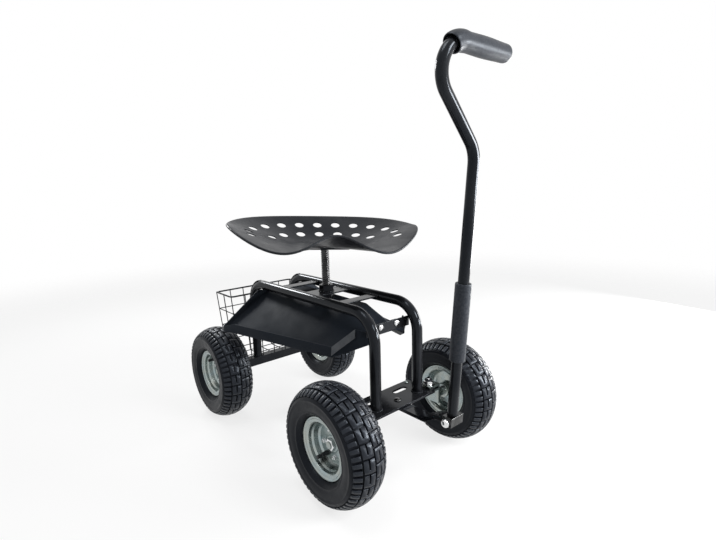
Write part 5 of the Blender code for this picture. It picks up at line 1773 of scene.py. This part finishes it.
def pan_holes(sizes, number, place):
    """Holes along one row round the back of the pan, a pitch apart, centred on the back."""
    places = []
    for side in (1, -1):
        turn = 0.0
        here = pan_point(sizes, place, turn)
        for i in range(number // 2 + 1):
            if i > 0 or side > 0:
                places.append((here, pan_square(sizes, place, turn)))
            while (pan_point(sizes, place, turn) - here).length < sizes.hole_pitch:
                turn += side * HOLE_SEARCH_STEP
            here = pan_point(sizes, place, turn)
    return places


def pan_turns(sizes):
    """Angles round the pan at even distances along its rim."""
    fine = sizes.steps * RIM_FINENESS
    reach = [0.0]
    before = pan_point(sizes, 1, 0)
    for i in range(1, fine + 1):
        here = pan_point(sizes, 1, 2 * math.pi * i / fine)
        reach.append(reach[-1] + (here - before).length)
        before = here
    turns = []
    at = 0
    for i in range(sizes.steps):
        wanted = reach[-1] * i / sizes.steps
        while reach[at] < wanted:
            at += 1
        turns.append(2 * math.pi * at / fine)
    return turns


def pan_sheet(sizes):
    """Upper face of the pressed pan, with its rim rolled over and down."""
    turns = pan_turns(sizes)
    rings = [[(0, 0, 0)]]
    brink = 1 - sizes.curl / sizes.back
    for i in range(1, sizes.rings + 1):
        place = brink * (i / sizes.rings) ** RING_CROWDING
        rings.append([pan_point(sizes, place, turn) for turn in turns])
    number = len(turns)
    last = rings[-1]
    squares = [pan_square(sizes, brink - CURL_INSET, turn) for turn in turns]
    for i in range(1, CURL_CELLS + 1):
        bend = CURL_SWEEP * i / CURL_CELLS
        ring = []
        for k in range(number):
            along = (last[(k + 1) % number] - last[k - 1]).normalized()
            square = squares[k] if squares[k].z > 0 else -squares[k]
            outward = along.cross(square)
            if outward.dot(last[k]) < 0:
                outward = -outward
            step = outward * (sizes.curl * math.sin(bend)) - square * (sizes.curl * (1 - math.cos(bend)))
            ring.append(last[k] + step)
        rings.append(ring)
    mesh = skinned(rings)
    shape = bmesh.new()
    shape.from_mesh(mesh)
    shape.faces.ensure_lookup_table()
    if shape.faces[0].normal.z < 0:
        bmesh.ops.reverse_faces(shape, faces=shape.faces)
    shape.to_mesh(mesh)
    shape.free()
    return mesh


def seat_place(sizes):
    """Frame of the seat pan: origin on its post under the pan, leaning with it."""
    axis = middle("seat_socket")
    turn = shift(axis.x, axis.y, 0) @ Matrix.Rotation(sizes.turn, 4, "Z")
    return turn @ shift(0, 0, sizes.height) @ Matrix.Rotation(sizes.lean, 4, "X")


class GARDENSEAT_OT_seat_pan(bpy.types.Operator):
    """Pressed seat pan with two rows of punched holes and its two bolts"""

    bl_idname = "garden_seat.seat_pan"
    bl_label = "Seat pan"

    def execute(self, context):
        sizes = context.scene.garden_seat
        place = seat_place(sizes) @ shift(0, 0, sizes.sheet)
        holes = pan_holes(sizes, sizes.outer_holes, sizes.outer_share)
        holes += pan_holes(sizes, sizes.inner_holes, sizes.inner_share)
        sheet = pan_sheet(sizes)
        mesh = punched(sheet, finish_of("seat"), holes, sizes.hole_radius, PUNCH_LENGTH, sizes.sheet)
        finished("pressed_pan", placed(mesh, place), "seat", ["seat_pan"], crease=45)
        for label, direction in (("front", 1), ("rear", -1)):
            spot = shift(direction * PAN_BOLT_SPACING / 2, 0, SEAT_GAP)
            bolt = domed(*PAN_BOLT)
            finished("pan_bolt_" + label, placed(bolt, place @ spot), "bright", ["seat_bolt_" + label])
        return {"FINISHED"}


class GARDENSEAT_OT_seat_post(bpy.types.Operator):
    """Screw post, its stop washer, the socket it turns in and the flange under the pan"""

    bl_idname = "garden_seat.seat_post"
    bl_label = "Screw post and socket"

    def execute(self, context):
        sizes = context.scene.garden_seat
        edge = context.scene.garden_frame.edge
        low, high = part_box("seat_post")
        axis = middle("seat_socket")
        upright = shift(axis.x, axis.y, 0)
        cells = round((high.z - low.z) / sizes.thread_pitch * THREAD_CELLS)
        heights = [high.z - (high.z - low.z) * i / cells for i in range(cells + 1)]
        profile = [(0, high.z)] + [(sizes.post_radius, height) for height in heights] + [(0, low.z)]
        thread = {
            "Outer radius": sizes.post_radius,
            "Thread depth": sizes.thread_depth,
            "Pitch": sizes.thread_pitch,
        }
        screw = thread_recipe().make(turned(profile, steps=36), finish_of("post"), thread)
        finished("screw_post", placed(screw, upright), "post", ["seat_post"], crease=60)
        low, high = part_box("post_stop_washer")
        radius = (high.x - low.x) / 2
        disc = [(0, high.z), (radius, high.z), (radius, low.z), (0, low.z)]
        washer = turned(rounded(disc, edge), ROUND_STEPS)
        finished("stop_disc", placed(washer, upright), "zinc", ["post_stop_washer"])
        flat_metal("pan-flange", "seat_flange", edge * FLANGE_EDGE)
        finished("screw_socket", placed(screw_socket(sizes), upright), "paint", ["seat_socket"])
        return {"FINISHED"}


def screw_socket(sizes):
    """Socket of the post: a round tube through the seat plate with a hexagon collar on top."""
    low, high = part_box("seat_socket")
    plate_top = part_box("seat_plate")[1].z
    radius = (high.x - low.x) / 2
    bore = sizes.post_radius + SOCKET_PLAY
    tube_radius = radius * SOCKET_TUBE_SHARE
    section = [(bore, plate_top), (tube_radius, plate_top), (tube_radius, low.z), (bore, low.z)]
    tube = turned(rounded(section, SOCKET_ROUNDING, 4), ROUND_STEPS, closed=True)
    collar = hexagon(radius, high.z - plate_top, bore)
    return joined([tube, placed(collar, shift(0, 0, plate_top))])


# ---------------------------------------------------------------- stage


# Lamps: name, place, what it is aimed at, width and height, and the size group's value for its power.
LAMPS = (
    ("key_lamp", (1.9, 0.5, 1.7), (0, 0, 0.3), (0.6, 0.6), "key_power"),
    ("top_lamp", (0.2, -0.6, 2.4), (0, 0, 0.4), (0.8, 0.8), "fill_power"),
    ("side_lamp", (1.5, 1.0, 0.6), (0.2, -0.1, 0.15), (0.8, 0.4), "side_power"),
    ("window_lamp", (0.4, 2.0, 0.4), (0.1, 0, 0.3), (0.5, 0.75), "window_power"),
    ("back_lamp", (-1.7, -0.1, 1.5), (0, 0, 0.4), (0.45, 0.45), "back_power"),
)
FLOOR_GREY = 0.82
FLOOR_LIFT = 0.78


class GARDENSEAT_OT_stage(bpy.types.Operator):
    """Pale floor, soft light, white surroundings and the camera"""

    bl_idname = "garden_seat.stage"
    bl_label = "Stage"

    def execute(self, context):
        sizes = context.scene.garden_stage
        scene = context.scene
        scene.view_settings.view_transform = "Standard"
        lens = bpy.data.cameras.new("photo_camera")
        lens.sensor_fit = "HORIZONTAL"
        lens.sensor_width = 36
        lens.lens = sizes.lens
        camera = linked("photo_camera", lens)
        camera.matrix_world = (
            Matrix.Translation(sizes.eye)
            @ Matrix.Rotation(sizes.heading, 4, "Z")
            @ Matrix.Rotation(math.pi / 2 - sizes.dip, 4, "X")
            @ Matrix.Rotation(sizes.roll, 4, "Z")
        )
        scene.camera = camera
        floor = linked("floor", turned([(0, 0), (sizes.floor_radius, 0)], steps=96))
        floor.data.materials.append(floor_finish(sizes))
        scene.world = surroundings(sizes)
        for name, place, target, size, watts in LAMPS:
            lamp(name, place, target, size, getattr(sizes, watts))
        return {"FINISHED"}


def lamp(name, place, target, size, watts):
    """A soft lamp aimed at a point."""
    data = bpy.data.lights.new(name, "AREA")
    data.shape = "RECTANGLE"
    data.size, data.size_y = size
    data.energy = watts
    made = linked(name, data)
    made.visible_camera = False
    aim = (Vector(target) - Vector(place)).to_track_quat("-Z", "Y")
    made.matrix_world = Matrix.Translation(place) @ aim.to_matrix().to_4x4()


def seen_directly(tree):
    """1 for rays from the camera, or that leave polished metal or glass, and 0 for others."""
    path = node(tree, "ShaderNodeLightPath")
    seen = path.outputs["Is Camera Ray"]
    for ray in ("Is Glossy Ray", "Is Transmission Ray"):
        seen = node(tree, "ShaderNodeMath", {0: seen, 1: path.outputs[ray]}, operation="MAXIMUM")
    return seen


def surroundings(sizes):
    """A white world that lights the object at a plain level."""
    world = bpy.data.worlds.new("white_surroundings")
    world.use_nodes = True
    tree = world.node_tree
    ground = tree.nodes["Background"]
    ground.inputs["Color"].default_value = (1, 1, 1, 1)
    inputs = {"Value": seen_directly(tree), 3: sizes.world_light, 4: 1.0}
    strength = node(tree, "ShaderNodeMapRange", inputs)
    tree.links.new(strength.outputs[0], ground.inputs["Strength"])
    return world


def floor_finish(sizes):
    """Pale matt floor that keeps the shadow and fades into the surroundings."""
    material = bpy.data.materials.new("pale_floor")
    material.use_nodes = True
    tree = material.node_tree
    tree.nodes.remove(tree.nodes["Principled BSDF"])
    place = node(tree, "ShaderNodeTexCoord").outputs["Object"]
    matt = node(tree, "ShaderNodeBsdfDiffuse", {"Color": (FLOOR_GREY, FLOOR_GREY, FLOOR_GREY, 1)})
    glow = node(tree, "ShaderNodeEmission", {"Color": (1, 1, 1, 1), "Strength": 1.0})
    lift = node(tree, "ShaderNodeMath", {0: seen_directly(tree), 1: FLOOR_LIFT}, operation="MULTIPLY")
    pale = node(tree, "ShaderNodeMixShader", {0: lift, 1: matt, 2: glow})
    far = node(tree, "ShaderNodeVectorMath", {0: place}, operation="LENGTH").outputs["Value"]
    inputs = {"Value": far, 1: sizes.floor_clear, 2: sizes.floor_radius}
    fade = node(tree, "ShaderNodeMapRange", inputs, interpolation_type="SMOOTHSTEP")
    gone = node(tree, "ShaderNodeBsdfTransparent")
    edge = node(tree, "ShaderNodeMixShader", {0: fade, 1: pale, 2: gone})
    tree.links.new(edge.outputs[0], tree.nodes["Material Output"].inputs["Surface"])
    return material


# ---------------------------------------------------------------- panel and registration


OPERATORS = (
    GARDENSEAT_OT_tyres,
    GARDENSEAT_OT_rims,
    GARDENSEAT_OT_hubs,
    GARDENSEAT_OT_rails,
    GARDENSEAT_OT_flat_bars,
    GARDENSEAT_OT_tray,
    GARDENSEAT_OT_basket,
    GARDENSEAT_OT_front_axle,
    GARDENSEAT_OT_handle,
    GARDENSEAT_OT_seat_pan,
    GARDENSEAT_OT_seat_post,
    GARDENSEAT_OT_stage,
)


class GARDENSEAT_PT_pieces(bpy.types.Panel):
    """Pieces of the garden seat, with the sizes and colours they are made from"""

    bl_label = "Garden Seat"
    bl_idname = "GARDENSEAT_PT_pieces"
    bl_space_type = "VIEW_3D"
    bl_region_type = "UI"
    bl_category = "Garden Seat"

    def draw(self, context):
        layout = self.layout
        for operator in OPERATORS:
            layout.operator(operator.bl_idname)
        for key in GROUPS:
            box = layout.box()
            group = getattr(context.scene, key)
            for name in group.bl_rna.properties.keys():
                if name not in {"rna_type", "name"}:
                    box.prop(group, name)


def register():
    """Register the groups, operators and panel, and put the groups on the scene."""
    for key, group in GROUPS.items():
        bpy.utils.register_class(group)
        setattr(bpy.types.Scene, key, PointerProperty(type=group))
    for operator in OPERATORS:
        bpy.utils.register_class(operator)
    bpy.utils.register_class(GARDENSEAT_PT_pieces)


def unregister():
    """Undo register."""
    bpy.utils.unregister_class(GARDENSEAT_PT_pieces)
    for operator in reversed(OPERATORS):
        bpy.utils.unregister_class(operator)
    for key, group in reversed(GROUPS.items()):
        delattr(bpy.types.Scene, key)
        bpy.utils.unregister_class(group)


def main():
    """Make every piece and the stage."""
    register()
    for operator in OPERATORS:
        family, action = operator.bl_idname.split(".")
        getattr(getattr(bpy.ops, family), action)()


if __name__ == "__main__":
    main()
